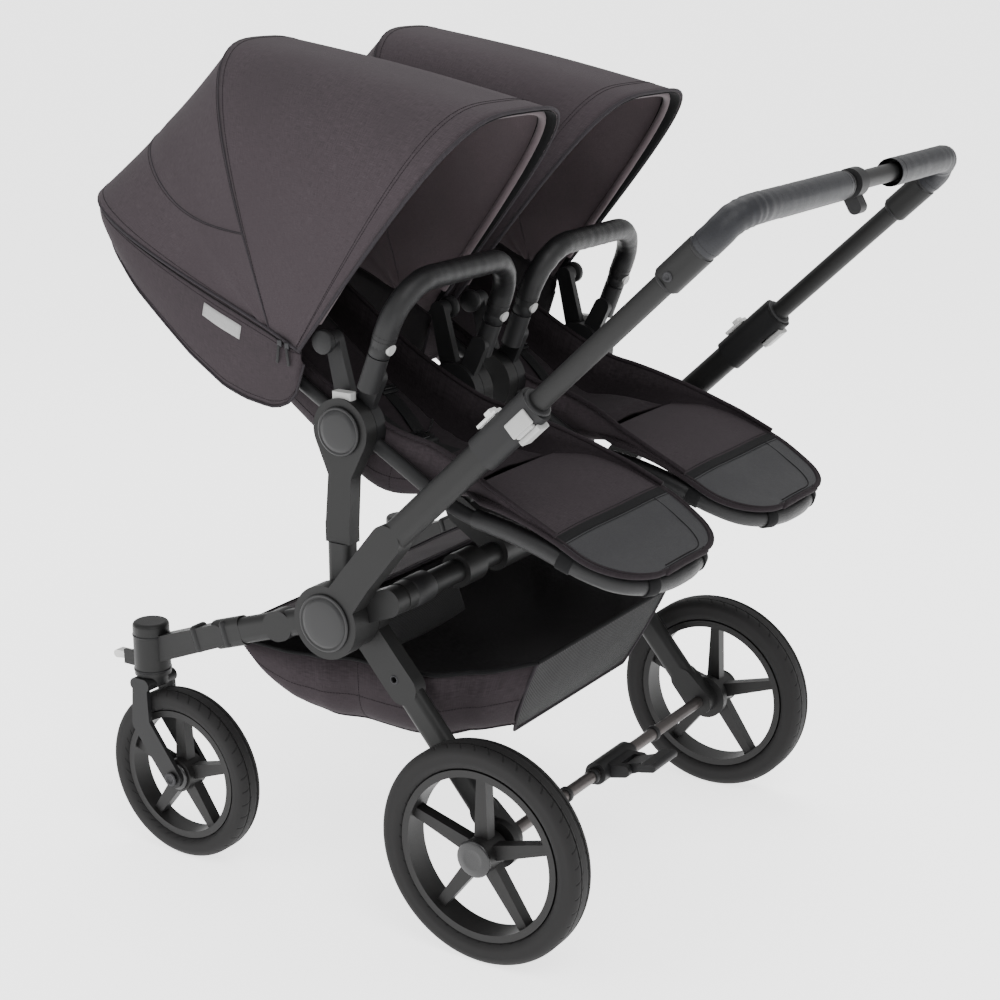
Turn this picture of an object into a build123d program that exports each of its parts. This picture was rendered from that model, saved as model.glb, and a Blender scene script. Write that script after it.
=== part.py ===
from build123d import *
import os
from math import cos, pi, radians, sin

os.makedirs("parts", exist_ok=True)
SIDES = (("left", 1), ("right", -1))

# wheels: radius, width, centre; side-plane points are (y, z), the ground is z = 0
REAR_R = 156.0
REAR_W = 46.0
REAR_X = 341.0
REAR_AXLE = (0.0, REAR_R)
FRONT_R = 130.0
FRONT_W = 42.0
FRONT_X = 318.0
FRONT_AXLE = (-547.0, FRONT_R)
CASTER_Y = -603.0
TYRE_DEPTH = 34.0
AXLE_R = 6.0
CASTER_BOTTOM = 277.0
CASTER_TOP = 348.0
CASTER_R = 27.0
STEM_R = 10.0

# side layers, measured from the centre plane
LEG_IN = 279.0
LEG_OUT = 303.0
SIDE_IN = 304.0
SIDE_OUT = 330.0
HANDLE_IN = 331.0
HANDLE_OUT = 361.0
SIDE_MID = (SIDE_IN + SIDE_OUT) / 2
HANDLE_MID = (HANDLE_IN + HANDLE_OUT) / 2

# frame points
HUB = (-244.0, 438.0)
HUB_R = 52.0
CLAMP = (-236.0, 699.0)
CLAMP_R = 44.0
POST_JOINT = 542.0
ARM_COLLAR = (-443.0, 372.0)
ARM_ANGLE = 18.35
CASTER_HEAD = (CASTER_Y, 312.0)
CROSS_TUBE = (-162.0, 472.0)
CROSS_R = 17.0
FRONT_CROSS = (-400.0, 375.0)

# handle
TUBE_ANGLE = 43.7
ELBOW_END = (-142.0, 569.0)
LOWER_LENGTH = 199.0
COLLAR_LENGTH = 109.0
COLLAR_HEIGHT = 49.0
HOUSING_START = 243.0
HOUSING_END = 301.0
INSERTED = 190.0
TUBE_R = 14.0
GRIP_BAR_R = 12.0

# seats
SEAT_X = 175.0
ADAPTER_IN = 130.0
ADAPTER_OUT = 153.0
DISC_IN = 109.0
DISC_OUT = 129.0
SHELL_HALF = 108.7
CANOPY_PIVOT = (-264.0, 815.0)
CANOPY_HALF = 155.0
CANOPY_WALL = 3.0
BOW_ANGLE = 53.2

# clearances
RUNNING = 0.05
SLIDING = 0.1
SEATED = 0.3


def side_plane(x):
    return Plane.YZ.offset(x)


def to_side(sign):
    """Turn the left-hand piece being built into the right-hand one."""
    if sign < 0:
        mirror(about=Plane.YZ, mode=Mode.REPLACE)


def slab(stations, x0, x1):
    """Round-ended bar through (y, z, radius) stations, between two side planes."""
    for (ya, za, ra), (yb, zb, rb) in zip(stations, stations[1:]):
        with BuildSketch(side_plane(x0)) as profile:
            with Locations((ya, za)):
                Circle(ra)
            with Locations((yb, zb)):
                Circle(rb)
            make_hull()
        extrude(profile.sketch, amount=x1 - x0)


def disc(point, radius, x0, x1, mode=Mode.ADD):
    """Cylinder along X, centred on a side-plane point."""
    with BuildSketch(side_plane(x0)) as profile:
        with Locations(point):
            Circle(radius)
    extrude(profile.sketch, amount=x1 - x0, mode=mode)


def rail(start, end, x, width, height, radius, mode=Mode.ADD):
    """Straight rounded tube in a side plane; width is along X."""
    a = Vector(x, *start)
    b = Vector(x, *end)
    with BuildSketch(Plane(origin=a, x_dir=(1, 0, 0), z_dir=b - a)) as profile:
        RectangleRounded(width, height, radius)
    extrude(profile.sketch, amount=(b - a).length, mode=mode)


def rod(start, end, radius, mode=Mode.ADD):
    """Straight round rod between two points in space."""
    a = Vector(*start)
    b = Vector(*end)
    with BuildSketch(Plane(origin=a, z_dir=b - a)) as profile:
        Circle(radius)
    extrude(profile.sketch, amount=(b - a).length, mode=mode)


def swept(points, radius, mode=Mode.ADD, tangents=()):
    """Round rod along a smooth line through points in space."""
    with BuildLine() as path:
        Spline(*points, tangents=tangents)
    with BuildSketch(Plane(origin=path.line @ 0, z_dir=path.line % 0)) as profile:
        Circle(radius)
    sweep(profile.sketch, path=path.line, mode=mode)


def along(point, angle, distance, offset=0.0):
    """Side-plane point a distance along a line and an offset to its upper side."""
    c = cos(radians(angle))
    s = sin(radians(angle))
    return (point[0] + c * distance - s * offset, point[1] + s * distance + c * offset)


def save(piece, name):
    piece.label = name
    export_step(piece, f"parts/{name}.step")


# ---------------------------------------------------------------- wheels
RIM_R = {REAR_R: REAR_R - TYRE_DEPTH, FRONT_R: FRONT_R - TYRE_DEPTH + 4}


def tyre(centre, x, radius, width):
    section = Plane(origin=(x, *centre), x_dir=(1, 0, 0), z_dir=(0, -1, 0))
    inner = RIM_R[radius]
    with BuildPart() as ring:
        with BuildSketch(section):
            with Locations((0, (radius + inner) / 2)):
                RectangleRounded(width, radius - inner, 12)
        revolve(axis=Axis((x, *centre), (1, 0, 0)))
        with BuildSketch(section):
            for offset in (-width / 5, width / 5):
                with Locations((offset, radius)):
                    Rectangle(2.4, 3)
        revolve(axis=Axis((x, *centre), (1, 0, 0)), mode=Mode.SUBTRACT)
    return ring.part


def rim(centre, x, radius, width, bore_from, bore_to):
    section = Plane(origin=(x, *centre), x_dir=(1, 0, 0), z_dir=(0, -1, 0))
    outer = RIM_R[radius]
    with BuildPart() as wheel:
        with BuildSketch(section):
            with Locations((0, outer - 5)):
                Rectangle(width - 8, 10)
        revolve(axis=Axis((x, *centre), (1, 0, 0)))
        disc(centre, 25, x - width / 2 + 3, x + width / 2)
        disc(centre, 21, x + width / 2, x + width / 2 + 3)
        for spoke in range(5):
            turn = 90 + spoke * 72
            near = along(centre, turn, 16)
            far = along(centre, turn, outer - 9)
            slab([(*near, 11), (*far, 7)], x - 9, x + 9)
        disc(centre, AXLE_R, bore_from, bore_to, Mode.SUBTRACT)
    return wheel.part


for side, sign in SIDES:
    with BuildPart() as rear_tyre:
        add(tyre(REAR_AXLE, REAR_X, REAR_R, REAR_W))
        to_side(sign)
    save(rear_tyre.part, f"rear_tyre_{side}")
    with BuildPart() as rear_rim:
        add(rim(REAR_AXLE, REAR_X, REAR_R, REAR_W, REAR_X - 30, REAR_X + 18))
        to_side(sign)
    save(rear_rim.part, f"rear_rim_{side}")
    with BuildPart() as front_tyre:
        add(tyre(FRONT_AXLE, FRONT_X, FRONT_R, FRONT_W))
        to_side(sign)
    save(front_tyre.part, f"front_tyre_{side}")
    with BuildPart() as front_rim:
        add(rim(FRONT_AXLE, FRONT_X, FRONT_R, FRONT_W - 3, FRONT_X - 30, FRONT_X + 30))
        to_side(sign)
    save(front_rim.part, f"front_rim_{side}")

# ---------------------------------------------------------------- casters
BLADE_IN = FRONT_W / 2 + 3.5
BLADE_OUT = BLADE_IN + 7
CROWN_TOP = CASTER_BOTTOM - 0.6
LEVER_PIVOT = (CASTER_Y - 38, 297.0)
for side, sign in SIDES:
    with BuildPart() as fork:
        for x0, x1 in ((BLADE_IN, BLADE_OUT), (-BLADE_OUT, -BLADE_IN)):
            slab(
                [(CASTER_Y, 262, 14), (CASTER_Y - 1, 205, 17), (*FRONT_AXLE, 16)],
                FRONT_X + x0,
                FRONT_X + x1,
            )
        slab([(CASTER_Y - 8, 266, 10), (CASTER_Y + 8, 266, 10)], FRONT_X - BLADE_OUT, FRONT_X + BLADE_OUT)
        rod((FRONT_X, CASTER_Y, 262), (FRONT_X, CASTER_Y, CROWN_TOP), 22)
        rod((FRONT_X, CASTER_Y, 262), (FRONT_X, CASTER_Y, CASTER_TOP - 12), STEM_R - RUNNING)
        disc(FRONT_AXLE, AXLE_R - RUNNING, FRONT_X - BLADE_OUT - 3, FRONT_X + BLADE_OUT + 3)
        to_side(sign)
    save(fork.part, f"fork_{side}")

    with BuildPart() as front_arm:
        rod((FRONT_X, CASTER_Y, CASTER_BOTTOM), (FRONT_X, CASTER_Y, CASTER_TOP + 10), CASTER_R)
        fillet(front_arm.faces().sort_by(Axis.Z)[-1].edges(), 6)
        slab([(*CASTER_HEAD, 19), (*along(ARM_COLLAR, ARM_ANGLE, -26), 17)], SIDE_IN, SIDE_OUT)
        rail(along(ARM_COLLAR, ARM_ANGLE, -30), along(ARM_COLLAR, ARM_ANGLE, 22), SIDE_MID, SIDE_OUT - SIDE_IN, 43, 11)
        rod((FRONT_X, CASTER_Y, CASTER_BOTTOM), (FRONT_X, CASTER_Y, CASTER_TOP - 10), STEM_R, Mode.SUBTRACT)
        with BuildSketch(side_plane(FRONT_X - 13)):
            with Locations((CASTER_Y - 32, 297)):
                Rectangle(26, 22)
        extrude(amount=26)
        with BuildSketch(side_plane(FRONT_X - 8)):
            with Locations((CASTER_Y - 42, 297)):
                Rectangle(18, 30)
        extrude(amount=16, mode=Mode.SUBTRACT)
        disc(LEVER_PIVOT, 2, FRONT_X - 13, FRONT_X + 13)
        to_side(sign)
    save(front_arm.part, f"front_arm_{side}")

    with BuildPart() as caster_lock:
        slab([(*LEVER_PIVOT, 4.6), (LEVER_PIVOT[0] - 27, 295, 6)], FRONT_X - 7.5, FRONT_X + 7.5)
        disc(LEVER_PIVOT, 2 + RUNNING, FRONT_X - 8, FRONT_X + 8, Mode.SUBTRACT)
        to_side(sign)
    save(caster_lock.part, f"caster_lock_{side}")

# ---------------------------------------------------------------- chassis sides
PIVOT_R = 12.0
for side, sign in SIDES:
    with BuildPart() as side_frame:
        disc(HUB, HUB_R - 2, SIDE_IN, SIDE_OUT)
        rail(HUB, (HUB[0], POST_JOINT), SIDE_MID, SIDE_OUT - SIDE_IN, 40, 11)
        rail(HUB, along(ARM_COLLAR, ARM_ANGLE, 22 + SEATED), SIDE_MID, SIDE_OUT - SIDE_IN, 38, 11)
        slab([(-356, 400.5, 22), (-350, 402.6, 22)], SIDE_IN, SIDE_OUT)
        slab([(*HUB, 18), (*CROSS_TUBE, 20)], SIDE_IN, SIDE_OUT)
        disc(HUB, PIVOT_R - RUNNING, LEG_IN - 4, HANDLE_IN + 18)
        disc(HUB, PIVOT_R + 6, LEG_IN - 8, LEG_IN - 0.6)
        to_side(sign)
    save(side_frame.part, f"side_frame_{side}")

with BuildPart() as cross_tube:
    rod((-SIDE_IN, *CROSS_TUBE), (SIDE_IN, *CROSS_TUBE), CROSS_R)
    for x in (-1, 1):
        rod((x * 120, *CROSS_TUBE), (x * 165, *CROSS_TUBE), CROSS_R + 8)
        rod((x * 282, *CROSS_TUBE), (x * SIDE_IN, *CROSS_TUBE), CROSS_R + 4)
save(cross_tube.part, "cross_tube")

INNER_POST = SEAT_X - (ADAPTER_IN + ADAPTER_OUT) / 2
with BuildPart() as centre_frame:
    rod((-70, *CROSS_TUBE), (70, *CROSS_TUBE), CROSS_R + 9)
    slab([(*CROSS_TUBE, 22), (-236, 520, 22)], -50, 50)
    for x0 in (SEAT_X - ADAPTER_OUT, ADAPTER_IN - SEAT_X):
        slab([(-236, 520, 20), (-237, 640, 17), (*CLAMP, CLAMP_R)], x0, x0 + ADAPTER_OUT - ADAPTER_IN)
    disc(CLAMP, 8 - RUNNING, ADAPTER_IN - SEAT_X - 14, SEAT_X - ADAPTER_IN + 14)
    with BuildSketch(side_plane(-19)):
        with Locations((-236, 690)):
            Rectangle(110, 160)
    extrude(amount=38, mode=Mode.SUBTRACT)
    rod((0, *CROSS_TUBE), (0, -226, 505), 18)
    disc(CROSS_TUBE, CROSS_R, -80, 80, Mode.SUBTRACT)
save(centre_frame.part, "centre_frame")

with BuildPart() as front_cross:
    rod((-SIDE_IN, *FRONT_CROSS), (SIDE_IN, *FRONT_CROSS), 11)
save(front_cross.part, "front_cross")

# ---------------------------------------------------------------- basket
BASKET_WALL = 4.0
BASKET_SIDE = [(-452, 357), (-386, 282), (-300, 262), (-166, 255), (-69, 247), (-12, 372), (-100, 352), (-215, 350)]


def basket_block(wall, lift):
    """The basket as one solid, its walls drawn in by a wall thickness."""
    wide = SIDE_IN - SEATED - wall
    mid = 268 - wall
    tail = 186 - wall
    with BuildPart() as block:
        with BuildSketch(side_plane(-wide)):
            with BuildLine():
                Polyline(*BASKET_SIDE, close=True)
            make_face()
            if wall:
                offset(amount=-wall, mode=Mode.REPLACE)
        extrude(amount=2 * wide)
        with BuildSketch(Plane.XY):
            with BuildLine():
                right = [(wide, -460), (wide, -306), (mid, -292), (mid, -150), (tail, -12 - wall)]
                Polyline(*right, *[(-x, y) for x, y in reversed(right)], close=True)
            make_face()
        extrude(amount=500, mode=Mode.INTERSECT)
    return block.part


with BuildPart() as basket:
    add(basket_block(0, 0))
    with Locations((0, 0, 0), (0, 0, 4.5), (0, 0, 9)):
        add(basket_block(BASKET_WALL, 0), mode=Mode.SUBTRACT)
save(basket.part, "basket")

with BuildPart() as basket_cover:
    with BuildSketch(side_plane(-SIDE_IN + SEATED)):
        with BuildLine():
            Polyline((-300, 424), (-352, 408), (-447, 374), (-447, 377.5), (-352, 411.5), (-300, 427.5), close=True)
        make_face()
    extrude(amount=2 * (SIDE_IN - SEATED))
save(basket_cover.part, "basket_cover")

# ---------------------------------------------------------------- rear legs, axle and brake
LEG_MID = (LEG_IN + LEG_OUT) / 2
LEG_SOCKET = (-184.0, 368.0)
BOSS = (-172.0, 352.0)
AXLE_TUBE_R = 9.0
PEDAL_PIVOT = (38.0, REAR_R + 6)
for side, sign in SIDES:
    with BuildPart() as rear_leg:
        disc(HUB, HUB_R - 2, LEG_IN, LEG_OUT)
        slab([(*HUB, 24), (*LEG_SOCKET, 24), (-160, 341, 24)], LEG_IN, LEG_OUT)
        rail((-175, 358), (-24, 180), LEG_MID, LEG_OUT - LEG_IN, 40, 11)
        slab([(-30, 187, 19), (*REAR_AXLE, 22)], LEG_IN, LEG_OUT)
        disc(REAR_AXLE, 34, LEG_OUT, LEG_OUT + 12)
        disc(REAR_AXLE, AXLE_R - RUNNING, LEG_OUT, REAR_X + 16)
        disc(HUB, PIVOT_R, LEG_IN - 1, LEG_OUT + 1, Mode.SUBTRACT)
        disc(BOSS, 4, LEG_OUT - 14, LEG_OUT + 1, Mode.SUBTRACT)
        to_side(sign)
    save(rear_leg.part, f"rear_leg_{side}")

with BuildPart() as rear_axle:
    rod((-LEG_IN, *REAR_AXLE), (LEG_IN, *REAR_AXLE), AXLE_TUBE_R)
save(rear_axle.part, "rear_axle")

with BuildPart() as brake_housing:
    rod((-46, *REAR_AXLE), (46, *REAR_AXLE), 17)
    slab([(*REAR_AXLE, 12), (*PEDAL_PIVOT, 9)], -30, 30)
    slab([(*REAR_AXLE, 14), (-14, REAR_R - 6, 12)], -22, 22)
    disc(REAR_AXLE, AXLE_TUBE_R, -60, 60, Mode.SUBTRACT)
    with BuildSketch(side_plane(-19)):
        with Locations((PEDAL_PIVOT[0] + 4, PEDAL_PIVOT[1])):
            Rectangle(28, 40)
    extrude(amount=38, mode=Mode.SUBTRACT)
    disc(PEDAL_PIVOT, 3, -30, 30)
save(brake_housing.part, "brake_housing")

with BuildPart() as brake_pedal:
    slab([(*PEDAL_PIVOT, 8), (PEDAL_PIVOT[0] + 40, REAR_R + 22, 6)], -18.5, 18.5)
    slab([(PEDAL_PIVOT[0] + 30, REAR_R + 20, 6), (PEDAL_PIVOT[0] + 48, REAR_R + 24, 6)], -34, 34)
    disc(PEDAL_PIVOT, 3 + RUNNING, -20, 20, Mode.SUBTRACT)
save(brake_pedal.part, "brake_pedal")

# ---------------------------------------------------------------- handle
LOWER_TOP = along(ELBOW_END, TUBE_ANGLE, LOWER_LENGTH)
COLLAR_TOP = along(LOWER_TOP, TUBE_ANGLE, COLLAR_LENGTH)
UPPER_START = along(COLLAR_TOP, TUBE_ANGLE, -INSERTED)
HOUSING = [along(COLLAR_TOP, TUBE_ANGLE, HOUSING_START), along(COLLAR_TOP, TUBE_ANGLE, HOUSING_END)]
LEVER_FOOT = 22.0
LEVER_LENGTH = 48.0
LEVER_TRAVEL = 12.0
BUTTON_FOOT = 62.0
BUTTON_LENGTH = 36.0
for side, sign in SIDES:
    with BuildPart() as handle_elbow:
        disc(HUB, HUB_R, HANDLE_IN, HANDLE_OUT)
        disc(HUB, HUB_R - 12, HANDLE_OUT, HANDLE_OUT + 3)
        slab([(*HUB, 26), (-190, 510, 23), (*ELBOW_END, 23)], HANDLE_IN, HANDLE_OUT)
        rail(ELBOW_END, LOWER_TOP, HANDLE_MID, HANDLE_OUT - HANDLE_IN, 40, 14)
        rail(along(ELBOW_END, TUBE_ANGLE, 20), LOWER_TOP, HANDLE_MID, 28.2, 28.2, 14.05, Mode.SUBTRACT)
        disc(HUB, PIVOT_R, HANDLE_IN - 1, HANDLE_IN + 20, Mode.SUBTRACT)
        to_side(sign)
    save(handle_elbow.part, f"handle_elbow_{side}")

    with BuildPart() as handle_collar:
        rail(LOWER_TOP, COLLAR_TOP, HANDLE_MID, HANDLE_OUT - HANDLE_IN, COLLAR_HEIGHT, 14)
        disc_bore = 2 * (TUBE_R + SLIDING)
        rail(LOWER_TOP, COLLAR_TOP, HANDLE_MID, disc_bore, disc_bore, TUBE_R + SLIDING - 0.01, Mode.SUBTRACT)
        rail(along(LOWER_TOP, TUBE_ANGLE, LEVER_FOOT, COLLAR_HEIGHT / 2),
             along(LOWER_TOP, TUBE_ANGLE, LEVER_FOOT + LEVER_LENGTH, COLLAR_HEIGHT / 2),
             HANDLE_MID, 10, 8, 1, Mode.SUBTRACT)
        rail(along(LOWER_TOP, TUBE_ANGLE, BUTTON_FOOT, -COLLAR_HEIGHT / 2),
             along(LOWER_TOP, TUBE_ANGLE, BUTTON_FOOT + BUTTON_LENGTH, -COLLAR_HEIGHT / 2),
             HANDLE_MID, 24, 12, 3, Mode.SUBTRACT)
        to_side(sign)
    save(handle_collar.part, f"handle_collar_{side}")

    with BuildPart() as fold_lever:
        lift = COLLAR_HEIGHT / 2 + SEATED + 2.5
        rail(along(LOWER_TOP, TUBE_ANGLE, LEVER_FOOT, lift),
             along(LOWER_TOP, TUBE_ANGLE, LEVER_FOOT + LEVER_LENGTH - LEVER_TRAVEL, lift), HANDLE_MID, 16, 5, 2)
        rail(along(LOWER_TOP, TUBE_ANGLE, LEVER_FOOT + 1, lift - 4),
             along(LOWER_TOP, TUBE_ANGLE, LEVER_FOOT + 30, lift - 4), HANDLE_MID, 10 - 2 * SLIDING, 5, 1)
        rail(along(LOWER_TOP, TUBE_ANGLE, LEVER_FOOT + 20, lift + 4),
             along(LOWER_TOP, TUBE_ANGLE, LEVER_FOOT + 30, lift + 4), HANDLE_MID, 16, 7, 2)
        to_side(sign)
    save(fold_lever.part, f"fold_lever_{side}")

    with BuildPart() as height_button:
        rail(along(LOWER_TOP, TUBE_ANGLE, BUTTON_FOOT + SEATED, -COLLAR_HEIGHT / 2 - 1),
             along(LOWER_TOP, TUBE_ANGLE, BUTTON_FOOT + BUTTON_LENGTH - SEATED, -COLLAR_HEIGHT / 2 - 1),
             HANDLE_MID, 24 - 2 * SLIDING, 8, 2.8)
        to_side(sign)
    save(height_button.part, f"height_button_{side}")

    with BuildPart() as handle_tube:
        rail(UPPER_START, HOUSING[1], HANDLE_MID, 2 * TUBE_R, 2 * TUBE_R, TUBE_R - 0.01)
        rail(*HOUSING, HANDLE_MID, 30, 38, 14)
        to_side(sign)
    save(handle_tube.part, f"handle_tube_{side}")

GRIP_START = along(COLLAR_TOP, TUBE_ANGLE, HOUSING_END + SEATED)
BAR = (338.0, 1032.0)
CORNER_X = HANDLE_MID - 60
CORNER = [(HANDLE_MID, *GRIP_START), (HANDLE_MID - 15, BAR[0] - 11, BAR[1] - 10), (CORNER_X, *BAR)]
TUBE_WAY = (0, cos(radians(TUBE_ANGLE)), sin(radians(TUBE_ANGLE)))
CORNER_WAYS = [TUBE_WAY, (-1, 0, 0)]
with BuildPart() as crossbar:
    rod((-CORNER_X, *BAR), (CORNER_X, *BAR), GRIP_BAR_R)
    swept(CORNER, GRIP_BAR_R, tangents=CORNER_WAYS)
    swept([(-x, y, z) for x, y, z in CORNER], GRIP_BAR_R, tangents=[TUBE_WAY, (1, 0, 0)])
save(crossbar.part, "crossbar")

GRIP_END = {"left": 45.0, "right": 135.0}
for side, sign in SIDES:
    with BuildPart() as grip:
        with BuildLine() as path:
            Spline(*CORNER, tangents=CORNER_WAYS)
            Line(CORNER[-1], (GRIP_END[side], *BAR))
        with BuildSketch(Plane(origin=CORNER[0], z_dir=TUBE_WAY)):
            Circle(18)
            Circle(GRIP_BAR_R + RUNNING, mode=Mode.SUBTRACT)
        sweep(path=path.wire())
        to_side(sign)
    save(grip.part, f"grip_{side}")

RING_X = 14.0
with BuildPart() as strap_ring:
    rod((RING_X - 12, *BAR), (RING_X + 12, *BAR), 19)
    slab([(BAR[0], BAR[1] - 16, 9), (BAR[0] + 8, BAR[1] - 30, 9)], RING_X - 12, RING_X + 8)
    rod((RING_X - 20, *BAR), (RING_X + 20, *BAR), GRIP_BAR_R + SEATED, Mode.SUBTRACT)
save(strap_ring.part, "strap_ring")

# ---------------------------------------------------------------- seats
LEG_ANGLE = 68.5
SOCKET_BASE = (-201.0, 757.0)
SOCKET_LENGTH = 50.0
SOCKET_R = 14.7
BUMPER_X = 136.0
BUMPER_PLUG_R = 11.0
BUTTON_AT = SOCKET_LENGTH + 17
BAR_RISE = 105.0
PAD_END = CANOPY_HALF - CANOPY_WALL - SEATED
BOW_HALF = PAD_END - 8.7
BOW_HEIGHT = 350.0
FOOTREST_EDGE = [(-62, 637), (-10, 634), (43, 621), (102, 598), (150, 574), (205, 556)]
SHELL_OUTER = [(-232, 604), (-45, 612), (-45, 650), (-72, 668), (-119, 684), (-190, 700),
               (-300, 755), (-560, 925), (-668, 962), (-690, 940), (-650, 912)]
SHELL_INNER = [(-228, 616), (-57, 623), (-57, 720), (-300, 900), (-640, 1050), (-664, 951), (-640, 918)]


def arch(half, height, power=4.6, count=9):
    """Points of a squarish arch, from its right foot over the top to its left foot."""
    points = []
    for step in range(count):
        turn = pi * step / (count - 1)
        c = cos(turn)
        s = sin(turn)
        x = half * abs(c) ** (2 / power) * (1 if c > 0 else -1)
        points.append((x if abs(c) > 1e-9 else 0.0, height * s ** (2 / power) if s > 1e-9 else 0.0))
    return points


def arch_band(cx, base, angle, half, height):
    """Thin arch-shaped face standing on a side-plane point and leaning at an angle."""
    outer = arch(half, height)
    inner = arch(half - CANOPY_WALL, height - CANOPY_WALL)
    plane = Plane(origin=(cx, *base), x_dir=(1, 0, 0), z_dir=(0, -sin(radians(angle)), cos(radians(angle))))
    with BuildSketch(plane) as face:
        with BuildLine():
            Spline(*outer, tangents=[(0, 1), (0, -1)])
            Line(outer[-1], inner[-1])
            Spline(*inner, tangents=[(0, 1), (0, -1)])
            Line(inner[0], outer[0])
        make_face()
    return face.sketch


def hood(cx, sections):
    """Thin shell lofted through arches given as (base point, angle, height)."""
    with BuildPart() as shell:
        loft(sections=[arch_band(cx, base, angle, CANOPY_HALF, height) for base, angle, height in sections])
    return shell.part


FRONT_BASE = along(CANOPY_PIVOT, BOW_ANGLE, 22)
MID_BASE = (-349.0, 826.0)
for side, sign in SIDES:
    cx = sign * SEAT_X
    with BuildPart() as seat_mount:
        slab([(HUB[0], POST_JOINT + SEATED + 20, 20), (-238, 640, 19), (*CLAMP, CLAMP_R)],
             SEAT_X + ADAPTER_IN, SEAT_X + ADAPTER_OUT)
        with BuildSketch(side_plane(SIDE_IN)):
            with Locations((HUB[0], POST_JOINT + SEATED - 20)):
                Rectangle(60, 40)
        extrude(amount=40, mode=Mode.SUBTRACT)
        with BuildSketch(side_plane(SEAT_X + ADAPTER_IN)):
            with Locations((HUB[0], POST_JOINT + SEATED + 14)):
                Rectangle(40, 28)
        extrude(amount=ADAPTER_OUT - ADAPTER_IN)
        disc(CLAMP, 32, SEAT_X + ADAPTER_OUT, SEAT_X + ADAPTER_OUT + 2)
        disc(CLAMP, 8 - RUNNING, SEAT_X + ADAPTER_IN - 14, SEAT_X + ADAPTER_IN)
        with BuildSketch(Plane.XY.offset(CLAMP[1] + CLAMP_R - 12)):
            with Locations((SEAT_X + (ADAPTER_IN + ADAPTER_OUT) / 2, CLAMP[0])):
                RectangleRounded(15, 31, 3)
        extrude(amount=20, mode=Mode.SUBTRACT)
        to_side(sign)
    save(seat_mount.part, f"seat_mount_{side}")

    with BuildPart() as clamp_button:
        with BuildSketch(Plane.XY.offset(CLAMP[1] + CLAMP_R - 7)):
            with Locations((SEAT_X + (ADAPTER_IN + ADAPTER_OUT) / 2, CLAMP[0])):
                RectangleRounded(15 - 2 * SLIDING, 31 - 2 * SLIDING, 2.9)
        extrude(amount=15)
        to_side(sign)
    save(clamp_button.part, f"clamp_button_{side}")

    with BuildPart() as seat_frame:
        for hand in (-1, 1):
            x0 = cx + hand * DISC_IN
            x1 = cx + hand * DISC_OUT
            mid = DISC_IN + 10
            disc(CLAMP, CLAMP_R, x0, x1)
            slab([(*CLAMP, 15), (*CANOPY_PIVOT, 12)], x0 + hand * 8, x1)
            disc(CANOPY_PIVOT, 12, x1, cx + hand * (PAD_END - 14.8))
            disc(CANOPY_PIVOT, 4 - RUNNING, x1, cx + hand * PAD_END)
            socket = cx + hand * BUMPER_X
            rod((socket, *SOCKET_BASE), (socket, *along(SOCKET_BASE, LEG_ANGLE, SOCKET_LENGTH)), SOCKET_R)
            slab([(*along(CLAMP, 55, 30), 14), (*along(SOCKET_BASE, LEG_ANGLE, 16), 13)], x0 + hand * 8, x1)
            swept([(cx + hand * mid, *CLAMP), (cx + hand * 121, -330, 752), (cx + hand * 122, -480, 842),
                   (cx + hand * 121, -600, 885), (cx + hand * 117, -640, 890)], 9)
            swept([(cx + hand * mid, *CLAMP), (cx + hand * 122, -150, 652), (cx + hand * 132, -40, 606),
                   (cx + hand * 136, 60, 589), (cx + hand * 132, 110, 570), (cx + hand * 112, 158, 548),
                   (cx + hand * 60, 186, 537), (cx, 194, 534)], 10,
                  tangents=[(0, 0.86, -0.5), (-hand, 0, 0)])
        rod((cx - 117, -640, 890), (cx + 117, -640, 890), 9)
        for hand in (-1, 1):
            x0 = cx + hand * DISC_IN
            x1 = cx + hand * DISC_OUT
            disc(CLAMP, 8, x0 - hand * 4, x1 + hand * 4, Mode.SUBTRACT)
            socket = cx + hand * BUMPER_X
            rod((socket, *along(SOCKET_BASE, LEG_ANGLE, 4)),
                (socket, *along(SOCKET_BASE, LEG_ANGLE, SOCKET_LENGTH + 1)), BUMPER_PLUG_R, Mode.SUBTRACT)
    save(seat_frame.part, f"seat_frame_{side}")

    with BuildPart() as seat_shell:
        with BuildSketch(side_plane(cx - 146)):
            with BuildLine():
                under = [(y, z - 9) for y, z in reversed(FOOTREST_EDGE)]
                Polyline(*FOOTREST_EDGE, *under, close=True)
            make_face()
        extrude(amount=292)
        with BuildSketch(Plane.XY.offset(500)):
            with Locations((cx, 20)):
                RectangleRounded(292, 370, 90)
        extrude(amount=200, mode=Mode.INTERSECT)
        with BuildSketch(side_plane(cx - SHELL_HALF)):
            with BuildLine():
                Polyline(*SHELL_OUTER, close=True)
            make_face()
        extrude(amount=2 * SHELL_HALF)
        with BuildSketch(side_plane(cx - SHELL_HALF + 9)):
            with BuildLine():
                Polyline(*SHELL_INNER, close=True)
            make_face()
        extrude(amount=2 * SHELL_HALF - 18, mode=Mode.SUBTRACT)
    save(seat_shell.part, f"seat_shell_{side}")

    with BuildPart() as canopy_rear:
        add(hood(cx, [(MID_BASE, 108, 376), ((-362, 829), 133, 374), ((-386, 842), 158.9, 386)]))
        for hand in (-1, 1):
            with BuildSketch(side_plane(cx + hand * (CANOPY_HALF - CANOPY_WALL))):
                with BuildLine():
                    Polyline((-355, 826), (-390, 852), (-660, 950), (-650, 918), (-566, 844), (-497, 782),
                             (-436, 739), (-355, 719), (-332, 723), (-300, 756), (-268, 788), (-252, 803), (-252, 824), close=True)
                make_face()
            extrude(amount=hand * CANOPY_WALL)
    save(canopy_rear.part, f"canopy_rear_{side}")

    with BuildPart() as canopy_front:
        add(hood(cx, [(FRONT_BASE, BOW_ANGLE, 347), (along(MID_BASE, 18, 0.8), 108, 376)]))
    save(canopy_front.part, f"canopy_front_{side}")

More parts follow.
